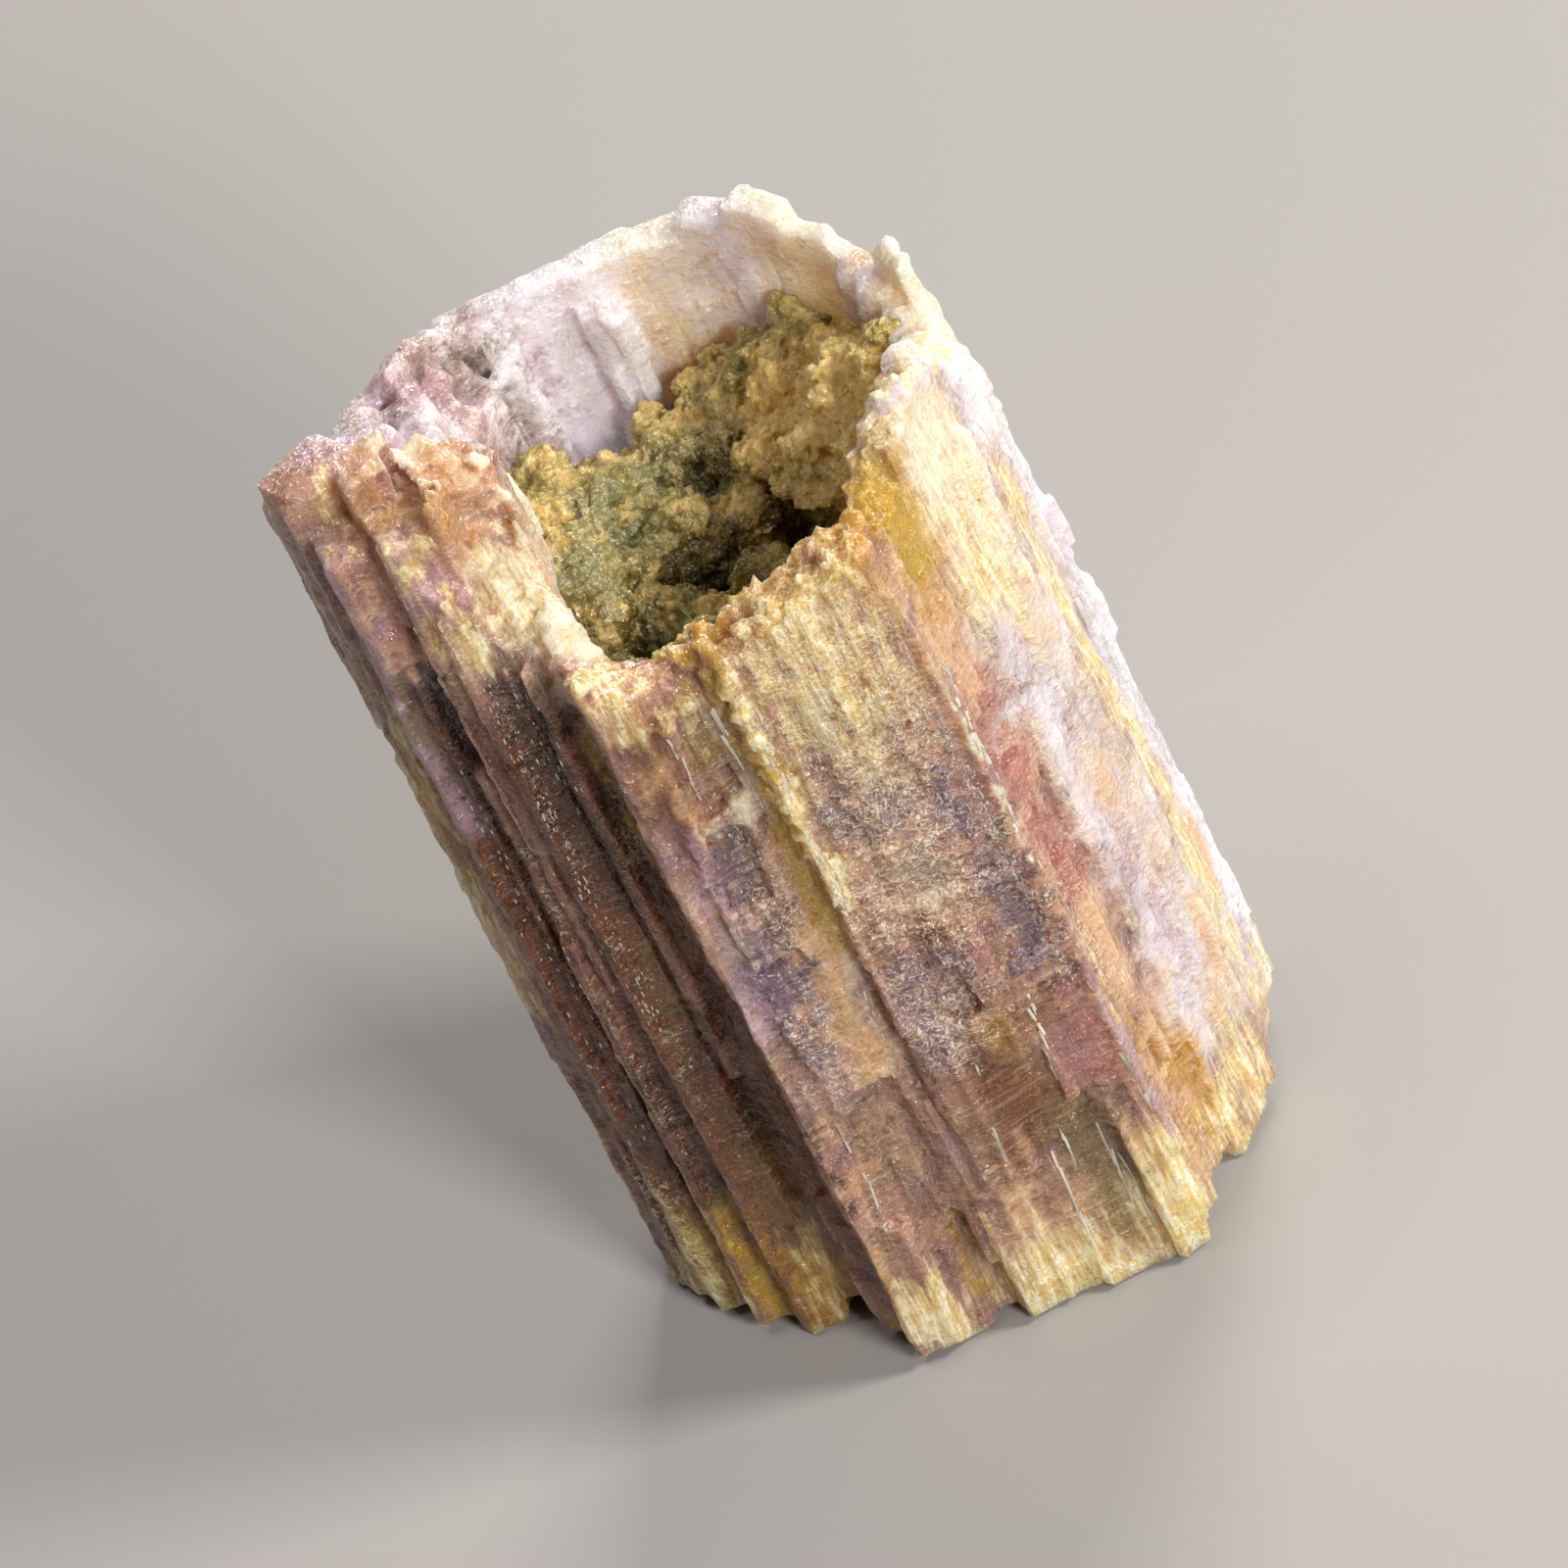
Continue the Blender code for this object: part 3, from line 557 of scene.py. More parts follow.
# Pigments on upward faces alone, along the rim of the hollow.
RIM_TOPS = {
    "gold": (
        (-1.0, -9.6, 36.0, 40.0, 1.6, 0.9), (2.5, -9.8, 37.0, 41.0, 1.8, 1.0),
        (6.0, -9.8, 37.0, 42.0, 1.8, 1.0), (7.6, -8.0, 37.0, 41.0, 1.6, 1.0),
        (9.5, -5.5, 38.0, 43.0, 1.6, 0.6), (-6.2, -3.0, 42.0, 46.0, 1.2, 0.35),
    ),
    "peach": ((-8.8, -2.8, 43.0, 47.0, 2.2, 1.0), (-6.6, -2.4, 42.0, 47.0, 2.0, 1.0)),
    "rose": ((-11.2, -2.4, 43.0, 45.2, 1.2, 0.5),),
    "olive": ((-1.6, -9.4, 35.0, 40.0, 0.9, 0.7), (-4.6, -7.8, 37.0, 40.0, 0.9, 0.6)),
    "cream": (
        (-5.0, -9.6, 36.0, 41.0, 1.4, 0.8), (9.8, -6.5, 38.0, 43.0, 1.8, 0.9),
        (12.2, -2.0, 36.0, 43.0, 1.8, 0.9), (4.0, -10.6, 38.0, 41.0, 1.4, 0.7),
    ),
    "white_and_glow": (
        (-7.6, -1.3, 44.5, 47.0, 0.8, 1.0), (-5.4, -5.6, 38.0, 41.6, 1.6, 0.9),
        (-5.0, -3.4, 42.0, 46.0, 0.9, 0.9), (11.5, -4.5, 38.0, 43.0, 1.4, 0.7),
    ),
}


# ------------------------------------------------------------------ shader building

def add(tree, kind, settings=None, inputs=None):
    """Adds a node. An input may be a value or another node's output."""
    node = tree.nodes.new(kind)
    for key, value in (settings or {}).items():
        setattr(node, key, value)
    for key, value in (inputs or {}).items():
        if isinstance(value, bpy.types.NodeSocket):
            tree.links.new(value, node.inputs[key])
        else:
            node.inputs[key].default_value = value
    return node


def scaled(tree, place, size):
    """Coordinates stretched so that a pattern has these sizes in millimetres."""
    scale = tuple(1.0 / (value * MM) for value in size)
    return add(tree, "ShaderNodeMapping", None, {"Vector": place, "Scale": scale}).outputs[0]


def grain(tree, place, size, detail=3.0, rough=0.55, twist=0.0):
    """Noise with features of these sizes in millimetres, from 0 to 1."""
    node = add(
        tree, "ShaderNodeTexNoise", None,
        {"Vector": scaled(tree, place, size), "Scale": 1.0, "Detail": detail,
         "Roughness": rough, "Distortion": twist},
    )
    return node.outputs[0]


def sums(tree, operation, one, two, clamp=False):
    settings = {"operation": operation, "use_clamp": clamp}
    return add(tree, "ShaderNodeMath", settings, {0: one, 1: two}).outputs[0]


def edge(tree, value, low, high):
    """0 below low, 1 above high, and smooth between them."""
    node = add(
        tree, "ShaderNodeMapRange", {"interpolation_type": "SMOOTHSTEP"},
        {"Value": value, "From Min": low, "From Max": high},
    )
    return node.outputs[0]


def blend_colours(tree, share, under, over, mode="MIX"):
    node = add(
        tree, "ShaderNodeMix", {"data_type": "RGBA", "blend_type": mode},
    )
    for index, value in ((0, share), (6, under), (7, over)):
        if isinstance(value, bpy.types.NodeSocket):
            tree.links.new(value, node.inputs[index])
        else:
            node.inputs[index].default_value = value
    return node.outputs[2]


def read(tree, name):
    return add(tree, "ShaderNodeAttribute", {"attribute_name": name}).outputs["Fac"]


def ragged_cover(tree, name, pattern, fray):
    """How much a brushed pigment covers, with its edges frayed by a pattern."""
    brushed = read(tree, name)
    wander = sums(tree, "MULTIPLY", sums(tree, "SUBTRACT", pattern, 0.5), fray)
    wander = sums(tree, "MULTIPLY", wander, edge(tree, brushed, 0.0, 0.35))
    return edge(tree, sums(tree, "ADD", brushed, wander), 0.08, 0.95)


def heights(tree, *layers):
    """A sum of patterns, each with its depth in millimetres."""
    total = None
    for pattern, depth in layers:
        layer = sums(tree, "MULTIPLY", pattern, depth)
        total = layer if total is None else sums(tree, "ADD", total, layer)
    return total


def glitter(tree, place, size, relief, tilt):
    """The relief's normal, tilted a different way on every grain of this size, so that some glint."""
    grains = add(
        tree, "ShaderNodeTexVoronoi", {"feature": "F1"},
        {"Vector": scaled(tree, place, size), "Scale": 1.0},
    )
    bump = add(
        tree, "ShaderNodeBump", None, {"Height": relief, "Strength": 1.0, "Distance": MM}
    )
    lean = add(
        tree, "ShaderNodeVectorMath", {"operation": "SUBTRACT"},
        {0: grains.outputs["Color"], 1: (0.5, 0.5, 0.5)},
    )
    lean = add(tree, "ShaderNodeVectorMath", {"operation": "SCALE"}, {0: lean.outputs[0]})
    if isinstance(tilt, bpy.types.NodeSocket):
        tree.links.new(tilt, lean.inputs["Scale"])
    else:
        lean.inputs["Scale"].default_value = tilt
    tilted = add(
        tree, "ShaderNodeVectorMath", {"operation": "ADD"}, {0: bump.outputs[0], 1: lean.outputs[0]}
    )
    return add(
        tree, "ShaderNodeVectorMath", {"operation": "NORMALIZE"}, {0: tilted.outputs[0]}
    ).outputs[0]


def crystal_stone():
    stone = bpy.data.materials.new("banded aragonite")
    stone.use_nodes = True
    tree = stone.node_tree
    shader = tree.nodes["Principled BSDF"]
    place = add(tree, "ShaderNodeTexCoord").outputs["Object"]

    cloud = grain(tree, place, (3.0, 3.0, 3.4), 4.0, 0.6, 0.8)
    patch = grain(tree, place, (0.9, 0.9, 0.8), 3.0, 0.65, 0.6)
    crumb = grain(tree, place, (0.32, 0.32, 0.26), 2.0, 0.7)
    speck = grain(tree, place, (0.10, 0.10, 0.10), 1.0, 0.5)
    fibre = grain(tree, place, (0.40, 0.40, 5.0), 3.0, 0.65)
    thread = grain(tree, place, (0.17, 0.17, 1.6), 1.0, 0.6)
    lines = grain(tree, place, (2.4, 2.4, 0.16), 1.0, 0.5)

    # Body colour: mauve and beige, clouded.
    colour = blend_colours(
        tree, edge(tree, cloud, 0.36, 0.64), pigment(156, 116, 112), pigment(190, 146, 114)
    )
    deeper = sums(tree, "MULTIPLY", edge(tree, patch, 0.46, 0.70), 0.65)
    colour = blend_colours(tree, deeper, colour, pigment(110, 78, 66))
    paler = sums(tree, "MULTIPLY", edge(tree, fibre, 0.48, 0.72), 0.35)
    colour = blend_colours(tree, paler, colour, pigment(222, 192, 158))

    # Pigments, each with its own pattern, how far it frays, and how much it hides. Umber and maroon are partly painted
    # shade; blush and white are partly painted glow.
    mottle = heights(tree, (patch, 0.6), (crumb, 0.4))
    strand = heights(tree, (fibre, 0.45), (thread, 0.25), (patch, 0.3))
    web_noise = grain(tree, place, (0.42, 0.42, 0.34), 2.0, 0.6, 0.7)
    web = sums(tree, "ABSOLUTE", sums(tree, "SUBTRACT", web_noise, 0.5), 0.0)
    web = sums(tree, "SUBTRACT", 1.0, edge(tree, web, 0.0, 0.055))
    grains = heights(tree, (patch, 0.5), (crumb, 0.2), (web, 0.22))
    ragged_by = {
        "umber_and_shade": (cloud, 1.2, 0.95), "blush_and_glow": (cloud, 1.6, 0.95), "peach": (cloud, 2.0, 0.85),
        "lilac": (mottle, 2.0, 0.8), "rose": (mottle, 2.0, 0.8), "smoke": (mottle, 2.0, 0.8),
        "violet": (mottle, 2.8, 0.85), "olive": (mottle, 1.2, 0.9), "gold": (mottle, 1.8, 0.85),
        "maroon_and_shade": (mottle, 2.2, 0.85), "sugar": (grains, 3.4, 0.8), "cream": (strand, 2.6, 0.85),
        "white_and_glow": (mottle, 1.6, 0.95),
    }
    for name, stroke_colour in PIGMENTS.items():
        pattern, fray, most = ragged_by[name]
        cover = ragged_cover(tree, name, pattern, fray)
        colour = blend_colours(tree, sums(tree, "MULTIPLY", cover, most), colour, stroke_colour)

    # White and golden threads where the stone is fibrous.
    fibrous = edge(tree, read(tree, "cream"), 0.15, 0.7)
    bright = sums(tree, "MULTIPLY", fibrous, edge(tree, thread, 0.50, 0.62))
    colour = blend_colours(
        tree, sums(tree, "MULTIPLY", bright, 0.6), colour, pigment(255, 250, 228)
    )
    dull = sums(tree, "MULTIPLY", fibrous, edge(tree, thread, 0.48, 0.36))
    colour = blend_colours(tree, sums(tree, "MULTIPLY", dull, 0.3), colour, pigment(206, 164, 104))

    # Fine pale growth lines, pale specks and dark pores. The pale specks are partly sugar-like grains and partly
    # painted glints.
    pale_lines = sums(tree, "MULTIPLY", edge(tree, lines, 0.54, 0.70), 0.30)
    pale_lines = sums(tree, "MULTIPLY", pale_lines, edge(tree, cloud, 0.44, 0.56))
    clear = sums(tree, "SUBTRACT", 1.0, sums(tree, "MULTIPLY", read(tree, "umber_and_shade"), 0.7))
    pale_lines = sums(tree, "MULTIPLY", pale_lines, clear)
    colour = blend_colours(tree, pale_lines, colour, pigment(238, 218, 204))
    specks_and_glints = sums(tree, "MULTIPLY", edge(tree, speck, 0.58, 0.70), 0.30)
    specks_and_glints = sums(tree, "MULTIPLY", specks_and_glints, clear)
    colour = blend_colours(tree, specks_and_glints, colour, pigment(252, 240, 222))
    pores = sums(tree, "MULTIPLY", edge(tree, crumb, 0.54, 0.72), 0.4)
    bare = sums(tree, "SUBTRACT", 1.0, sums(tree, "MULTIPLY", read(tree, "blush_and_glow"), 0.85))
    pores = sums(tree, "MULTIPLY", pores, bare)
    colour = blend_colours(tree, pores, colour, pigment(112, 86, 70))
    tree.links.new(colour, shader.inputs["Base Color"])

    gloss = sums(tree, "ADD", sums(tree, "MULTIPLY", patch, 0.3), 0.06)
    tree.links.new(gloss, shader.inputs["Roughness"])
    shader.inputs["Specular IOR Level"].default_value = 0.65
    shader.inputs["Subsurface Weight"].default_value = 0.8
    shader.inputs["Subsurface Radius"].default_value = (1.0, 0.80, 0.66)
    shader.inputs["Subsurface Scale"].default_value = 2.0 * MM

    relief = heights(
        tree, (patch, 0.18), (crumb, 0.14), (thread, 0.04), (speck, 0.02), (lines, 0.05),
    )
    sugary = edge(tree, read(tree, "sugar"), 0.1, 0.6)
    relief = sums(tree, "ADD", relief, sums(
        tree, "MULTIPLY", sugary, heights(tree, (crumb, 0.18), (patch, 0.12))
    ))
    tilt = sums(tree, "ADD", sums(tree, "MULTIPLY", edge(tree, patch, 0.42, 0.62), 0.8), 0.15)
    normal = glitter(tree, place, (0.14, 0.14, 0.20), relief, tilt)
    tree.links.new(normal, shader.inputs["Normal"])
    return stone


def crust_stone():
    stone = bpy.data.materials.new("olive crust")
    stone.use_nodes = True
    tree = stone.node_tree
    shader = tree.nodes["Principled BSDF"]
    place = add(tree, "ShaderNodeTexCoord").outputs["Object"]
    cloud = grain(tree, place, (2.6, 2.6, 2.6), 4.0, 0.6, 0.6)
    patch = grain(tree, place, (0.8, 0.8, 0.8), 3.0, 0.65, 0.5)
    crumb = grain(tree, place, (0.22, 0.22, 0.22), 2.0, 0.65)
    speck = grain(tree, place, (0.10, 0.10, 0.10), 1.0, 0.5)
    colour = blend_colours(
        tree, edge(tree, cloud, 0.40, 0.60), pigment(142, 130, 64), pigment(214, 184, 112)
    )
    deeper = sums(tree, "MULTIPLY", edge(tree, patch, 0.50, 0.64), 0.5)
    colour = blend_colours(tree, deeper, colour, pigment(116, 108, 50))
    mottle = heights(tree, (patch, 0.65), (crumb, 0.35))
    # Maroon, and in part olive, are painted shade in the crust's pits.
    for name in ("smoke", "olive", "gold", "cream", "maroon_and_shade"):
        cover = ragged_cover(tree, name, mottle, 2.4)
        colour = blend_colours(tree, sums(tree, "MULTIPLY", cover, 0.85), colour, CRUST_PIGMENTS[name])
    # Painted glints: pale specks of colour scattered over the crust.
    specks_and_glints = sums(tree, "MULTIPLY", edge(tree, speck, 0.60, 0.70), 0.35)
    colour = blend_colours(tree, specks_and_glints, colour, pigment(236, 224, 178))
    tree.links.new(colour, shader.inputs["Base Color"])
    gloss = sums(tree, "ADD", sums(tree, "MULTIPLY", patch, 0.3), 0.08)
    tree.links.new(gloss, shader.inputs["Roughness"])
    shader.inputs["Specular IOR Level"].default_value = 0.8
    shader.inputs["Subsurface Weight"].default_value = 0.55
    shader.inputs["Subsurface Radius"].default_value = (1.0, 0.85, 0.4)
    shader.inputs["Subsurface Scale"].default_value = 0.9 * MM
    relief = heights(tree, (patch, 0.16), (crumb, 0.12), (speck, 0.03))
    normal = glitter(tree, place, (0.2, 0.2, 0.2), relief, 0.45)
    tree.links.new(normal, shader.inputs["Normal"])
    return stone


CRUST_PIGMENTS = {
    "smoke": pigment(128, 126, 88),
    "olive": pigment(100, 86, 24),
    "gold": pigment(238, 184, 82),
    "cream": pigment(244, 214, 142),
    # Painted shade: this dark colour darkens the pits of the crust.
    "maroon_and_shade": pigment(66, 48, 6),
}


# ------------------------------------------------------------------ the crystal

def ramp_up(values, low, high):
    share = ((values - low) / (high - low)).clip(0.0, 1.0)
    return share * share * (3.0 - 2.0 * share)


SMOOTH_STONE = (
    (-1.2, -10.4, 23.0, 38.0, 0.5, 1.0), (0.9, -11.3, 14.0, 35.0, 1.6, 0.9),
    (4.2, -11.6, 14.0, 35.0, 1.8, 0.9),
    (10.5, -7.0, 2.0, 36.0, 3.0, 0.5),
    (-12.3, -2.5, 3.0, 46.0, 1.3, 0.8), (-11.6, 0.2, 43.0, 48.0, 2.8, 1.0),
    (-11.0, -3.2, 37.0, 46.0, 1.2, 0.9), (-8.8, -4.8, 41.0, 46.0, 1.4, 0.7),
    (1.0, -11.4, 5.0, 13.0, 1.6, 0.9),
    (4.5, -11.7, 5.0, 14.0, 1.6, 0.9), (3.5, -11.0, 0.5, 8.0, 1.3, 0.8),
    (-7.6, -5.8, 1.0, 36.0, 1.5, 0.7), (7.8, -9.0, 8.0, 32.0, 1.0, 0.6),
)


def surface_below(piece, x, y, top=60.0):
    """The point on a piece straight under x, y, in millimetres, and the way it faces."""
    start = Vector((x, y, top)) * MM
    found, point, facing, _ = piece.ray_cast(start, Vector((0.0, 0.0, -1.0)))
    return (point / MM, facing) if found else (None, None)


def place_copies(shape, places, name):
    """Copies of a modelled shape, each with its own mesh, joined as one piece.

    A place is a point and sizes in millimetres, and a turn matrix."""
    copies = []
    for point, size, turn in places:
        copy = bpy.data.objects.new(name, shape.data.copy())
        bpy.context.scene.collection.objects.link(copy)
        grow = Matrix.Diagonal((*[value * MM for value in size], 1.0))
        copy.data.transform(Matrix.Translation(Vector(point) * MM) @ turn.to_4x4() @ grow)
        copies.append(copy)
    pick(*copies)
    bpy.ops.object.join()
    return named(bpy.context.object, name)


def model_nodule():
    """A knobby grain, one unit in radius."""
    bpy.ops.mesh.primitive_ico_sphere_add(subdivisions=2, radius=1.0)
    nodule = named(bpy.context.object, "nodule shape")
    bpy.ops.object.mode_set(mode="EDIT")
    bpy.ops.mesh.select_all(action="SELECT")
    bpy.ops.transform.vertex_random(offset=0.16, seed=3)
    bpy.ops.object.mode_set(mode="OBJECT")
    return nodule


def model_blade():
    """A six-sided crystal, one unit in radius and long, that narrows to a slanted end."""
    bpy.ops.mesh.primitive_cylinder_add(vertices=6, radius=1.0, depth=1.0, location=(0, 0, 0.5))
    blade = named(bpy.context.object, "blade shape")
    bpy.ops.object.mode_set(mode="EDIT")
    bpy.ops.mesh.select_all(action="DESELECT")
    bpy.ops.object.mode_set(mode="OBJECT")
    for face in blade.data.polygons:
        face.select = face.normal.z > 0.9
    bpy.ops.object.mode_set(mode="EDIT")
    bpy.ops.mesh.extrude_region_move(TRANSFORM_OT_translate={"value": (0.12, 0.0, 0.10)})
    bpy.ops.transform.resize(value=(0.8, 0.8, 1.0))
    bpy.ops.object.mode_set(mode="OBJECT")
    bpy.ops.object.transform_apply(location=True)
    return blade


def free_turn(dice, lean=math.pi):
    axis = Vector((dice.uniform(-1, 1), dice.uniform(-1, 1), dice.uniform(-0.3, 0.3)))
    lean_over = Matrix.Rotation(dice.uniform(-lean, lean), 3, axis.normalized())
    return lean_over @ Matrix.Rotation(dice.uniform(0.0, math.tau), 3, "Z")


GRANULAR_STONE = (
    (0.9, -11.3, 16.0, 33.0, 1.8, 1.0), (4.2, -11.6, 16.0, 33.0, 2.0, 1.0),
    (-4.0, -10.6, 17.0, 30.0, 1.4, 0.8),
)


def cut_slope(piece, place, size, turn):
    """Cuts a piece with a block, sizes in millimetres and the turn in degrees."""
    bpy.ops.mesh.primitive_cube_add(
        size=1.0, location=[value * MM for value in place],
        rotation=[math.radians(value) for value in turn],
    )
    block = named(bpy.context.object, "slope cutter")
    block.scale = [value * MM for value in size]
    modifier = piece.modifiers.new("slope", "BOOLEAN")
    modifier.object = block
    modifier.operation = "DIFFERENCE"
    modifier.solver = "EXACT"
    apply_modifier(piece, modifier)
    bpy.data.objects.remove(block)


# Where loose growth stands: x and y limits, height limits of the ground, how many, least and
# greatest radius, least and greatest length, in millimetres, and the share that is knobs.
BLADE_BEDS = (
    ((-7.6, -4.6), (-7.0, -2.2), (36.0, 45.5), 240, (0.12, 0.34), (0.3, 1.5), 0.0),
    ((-6.8, 5.5), (8.2, 10.2), (28.0, 37.5), 190, (0.15, 0.45), (0.4, 2.6), 0.0),
    ((-7.6, -4.0), (6.0, 8.8), (28.0, 39.5), 110, (0.15, 0.45), (0.4, 2.2), 0.0),
    ((-11.5, -8.2), (0.8, 5.4), (29.0, 35.0), 40, (0.2, 0.6), (0.8, 3.0), 0.0),
    ((-5.9, 8.4), (-11.2, -8.6), (36.0, 41.0), 380, (0.12, 0.36), (0.02, 0.3), 0.75),
    ((7.0, 13.0), (-9.0, 3.0), (36.0, 42.5), 260, (0.12, 0.36), (0.02, 0.3), 0.75),
    ((-6.2, -4.2), (-10.4, -6.0), (37.0, 40.0), 90, (0.12, 0.36), (0.02, 0.4), 0.7),
    ((-9.6, -6.8), (-6.0, -4.8), (38.0, 43.0), 40, (0.14, 0.3), (0.2, 0.8), 0.3),
)
# Broken columns inside the walls: x, y, top and radius, in millimetres.
LIP_COLUMNS = (
    (7.0, -8.0, 39.0, 0.8), (7.7, -7.2, 39.4, 0.9), (8.5, -6.4, 39.9, 1.0), (9.3, -5.6, 40.2, 1.0),
    (9.9, -4.6, 40.0, 1.0), (10.6, -3.6, 39.6, 1.1), (10.9, -2.4, 38.9, 1.0), (11.3, -1.2, 38.2, 1.1),
    (11.6, 0.0, 37.8, 1.3), (11.7, 1.4, 38.0, 1.3), (11.2, 2.8, 38.4, 1.2), (10.6, 4.2, 38.2, 1.0),
    (-7.2, -0.6, 43.0, 1.0), (-6.0, -0.4, 41.8, 1.1), (-7.4, 1.0, 41.8, 1.2), (-6.2, 1.2, 40.4, 1.2),
    (-5.0, -0.2, 40.2, 1.0), (-6.2, -1.9, 43.9, 1.3), (-7.1, -1.6, 44.3, 1.2),
    (-5.4, -1.9, 43.2, 1.2), (-6.6, -0.9, 43.2, 1.2), (-5.6, -0.9, 42.2, 1.1), (-6.0, -2.8, 43.6, 1.2), (-7.0, 2.8, 40.4, 1.2), (-5.6, 2.6, 38.6, 1.1), (-6.8, 4.4, 39.6, 1.2),
    (-5.4, 4.6, 38.0, 1.1), (-6.6, 6.0, 40.0, 1.2), (-8.8, 4.2, 41.3, 1.1), (-8.3, 5.3, 40.6, 0.9),
    (-8.0, 4.4, 41.0, 0.9), (-4.3, 9.2, 38.2, 0.7), (-4.8, 10.3, 39.2, 0.6), (-5.6, 10.0, 39.4, 0.7),
    (-6.4, 9.4, 39.7, 0.7), (-7.1, 8.7, 39.8, 0.6), (-7.6, 7.0, 39.2, 0.7),
    (-7.2, 6.6, 39.8, 0.8), (-5.3, 8.5, 38.8, 0.8), (-5.4, 7.4, 38.5, 0.8),
(-5.0, 6.4, 38.4, 1.1), (-4.2, 7.8, 37.6, 1.0),
)


# Olive columns deep in the crack: x, y, foot, top and radius, in millimetres.
CRACK_FILL = (
    (-1.3, -10.45, 21.5, 36.2, 0.36), (-1.0, -10.4, 24.0, 31.0, 0.30), (-1.5, -10.3, 22.0, 28.0, 0.30),
    (-1.2, -10.4, 30.0, 34.6, 0.28), (-1.7, -10.3, 24.0, 34.0, 0.30), (-0.9, -10.4, 22.0, 37.0, 0.34),
)
# Crumbs and fibres grown in lines down the front: x at the foot and at the head, foot and head
# heights, how many, least and greatest radius, how far they stray, and their length if they
# are fibres, in millimetres.
CRUMB_LINES = (
    (-0.7, -0.4, 23.6, 36.4, 150, 0.08, 0.2, 0.45, 0.0), (-1.2, -1.1, 24.0, 37.0, 70, 0.2, 0.4, 0.3, 0.0),
    (-1.5, -1.4, 20.2, 23.4, 30, 0.12, 0.28, 0.35, 0.0), (-2.0, -1.7, 14.6, 20.0, 50, 0.12, 0.28, 0.3, 0.0),
    (6.3, 6.6, 23.6, 33.0, 60, 0.08, 0.2, 0.15, 0.0), (8.6, 8.7, 12.0, 33.0, 60, 0.1, 0.24, 0.3, 0.0),
    (-2.4, -2.2, 30.2, 30.9, 14, 0.1, 0.2, 1.0, 0.0), (-4.0, -4.0, 29.6, 30.4, 14, 0.1, 0.2, 1.0, 0.0),
    (0.6, 0.8, 33.6, 38.2, 30, 0.10, 0.24, 0.9, 1.6), (3.0, 3.2, 33.6, 38.8, 34, 0.10, 0.24, 1.4, 1.6),
    (5.2, 5.4, 34.0, 39.4, 30, 0.10, 0.24, 1.0, 1.6), (9.0, 9.2, 30.0, 40.0, 50, 0.14, 0.3, 1.4, 2.6),
    (11.4, 11.6, 10.0, 38.0, 70, 0.14, 0.32, 1.6, 3.0), (9.6, 9.8, 6.0, 28.0, 50, 0.14, 0.3, 1.4, 3.0),
    (-9.1, -8.9, 20.0, 41.0, 50, 0.08, 0.18, 0.3, 0.8), (-4.4, -4.2, 31.0, 38.0, 24, 0.10, 0.22, 0.8, 1.4),
    (5.5, 5.5, 15.0, 31.0, 60, 0.08, 0.18, 0.3, 0.0), (2.4, 2.6, 17.0, 33.0, 150, 0.10, 0.24, 2.3, 0.0),
)


def line_growth(piece, dice):
    """Places for the crumbs and for the fibres of the lines."""
    knobs, blades = [], []
    for foot_x, head_x, foot, head, count, thin, thick, stray, length in CRUMB_LINES:
        for _ in range(count):
            share = dice.random()
            x = foot_x + share * (head_x - foot_x) + dice.gauss(0.0, 0.6) * stray
            z = foot + share * (head - foot)
            start = Vector((x, -40.0, z)) * MM
            found, point, _, _ = piece.ray_cast(start, Vector((0.0, 1.0, 0.0)))
            if not found or point.y > 4.0 * MM:
                continue
            radius = dice.uniform(thin, thick)
            place = point / MM + Vector((0.0, 0.55 * radius, 0.0))
            if length:
                long = length * dice.uniform(0.5, 1.3)
                place.z -= long
                turn = Matrix.Rotation(dice.uniform(0.0, math.tau), 3, "Z")
                blades.append((place, (radius, radius, long), turn))
            else:
                sizes = [radius * dice.uniform(0.7, 1.5) for _ in range(3)]
                knobs.append((place, sizes, free_turn(dice)))
    return knobs, blades


def stand_blades(piece, dice):
    """Broken crystal ends on the beds, to grow into the piece."""
    blade, nodule = model_blade(), model_nodule()
    knobs, blades = line_growth(piece, dice)
    for across, deep, level, count, radii, lengths, knobby in BLADE_BEDS:
        for _ in range(count):
            x, y = dice.uniform(*across), dice.uniform(*deep)
            point, facing = surface_below(piece, x, y)
            if point is None or not level[0] < point.z < level[1]:
                continue
            radius = dice.uniform(*radii)
            if dice.random() < knobby:
                sizes = [radius * dice.uniform(0.9, 1.5) for _ in range(3)]
                knobs.append(((x, y, point.z), sizes, free_turn(dice)))
                continue
            rise = dice.uniform(*lengths)
            turn = Matrix.Rotation(dice.uniform(0.0, math.tau), 3, "Z")
            lean = Matrix.Rotation(dice.uniform(-0.12, 0.12), 3, "X")
            sizes = (radius, radius * dice.uniform(0.5, 1.0), rise + 1.0)
            blades.append(((x, y, point.z - 1.0), sizes, lean @ turn))
    for x, y, top, radius in LIP_COLUMNS:
        turn = Matrix.Rotation(dice.uniform(0.0, math.tau), 3, "Z")
        blades.append(((x, y, 28.0), (radius, radius, top - 28.0), turn))
    for x, y, low, top, radius in CRACK_FILL:
        turn = Matrix.Rotation(dice.uniform(0.0, math.tau), 3, "Z")
        blades.append(((x, y, low), (radius, radius, top - low), turn))
    growth = [place_copies(blade, blades, "blades"), place_copies(nodule, knobs, "crumbs")]
    for shape in (blade, nodule):
        bpy.data.objects.remove(shape)
    pick(piece, *growth)
    bpy.ops.object.join()


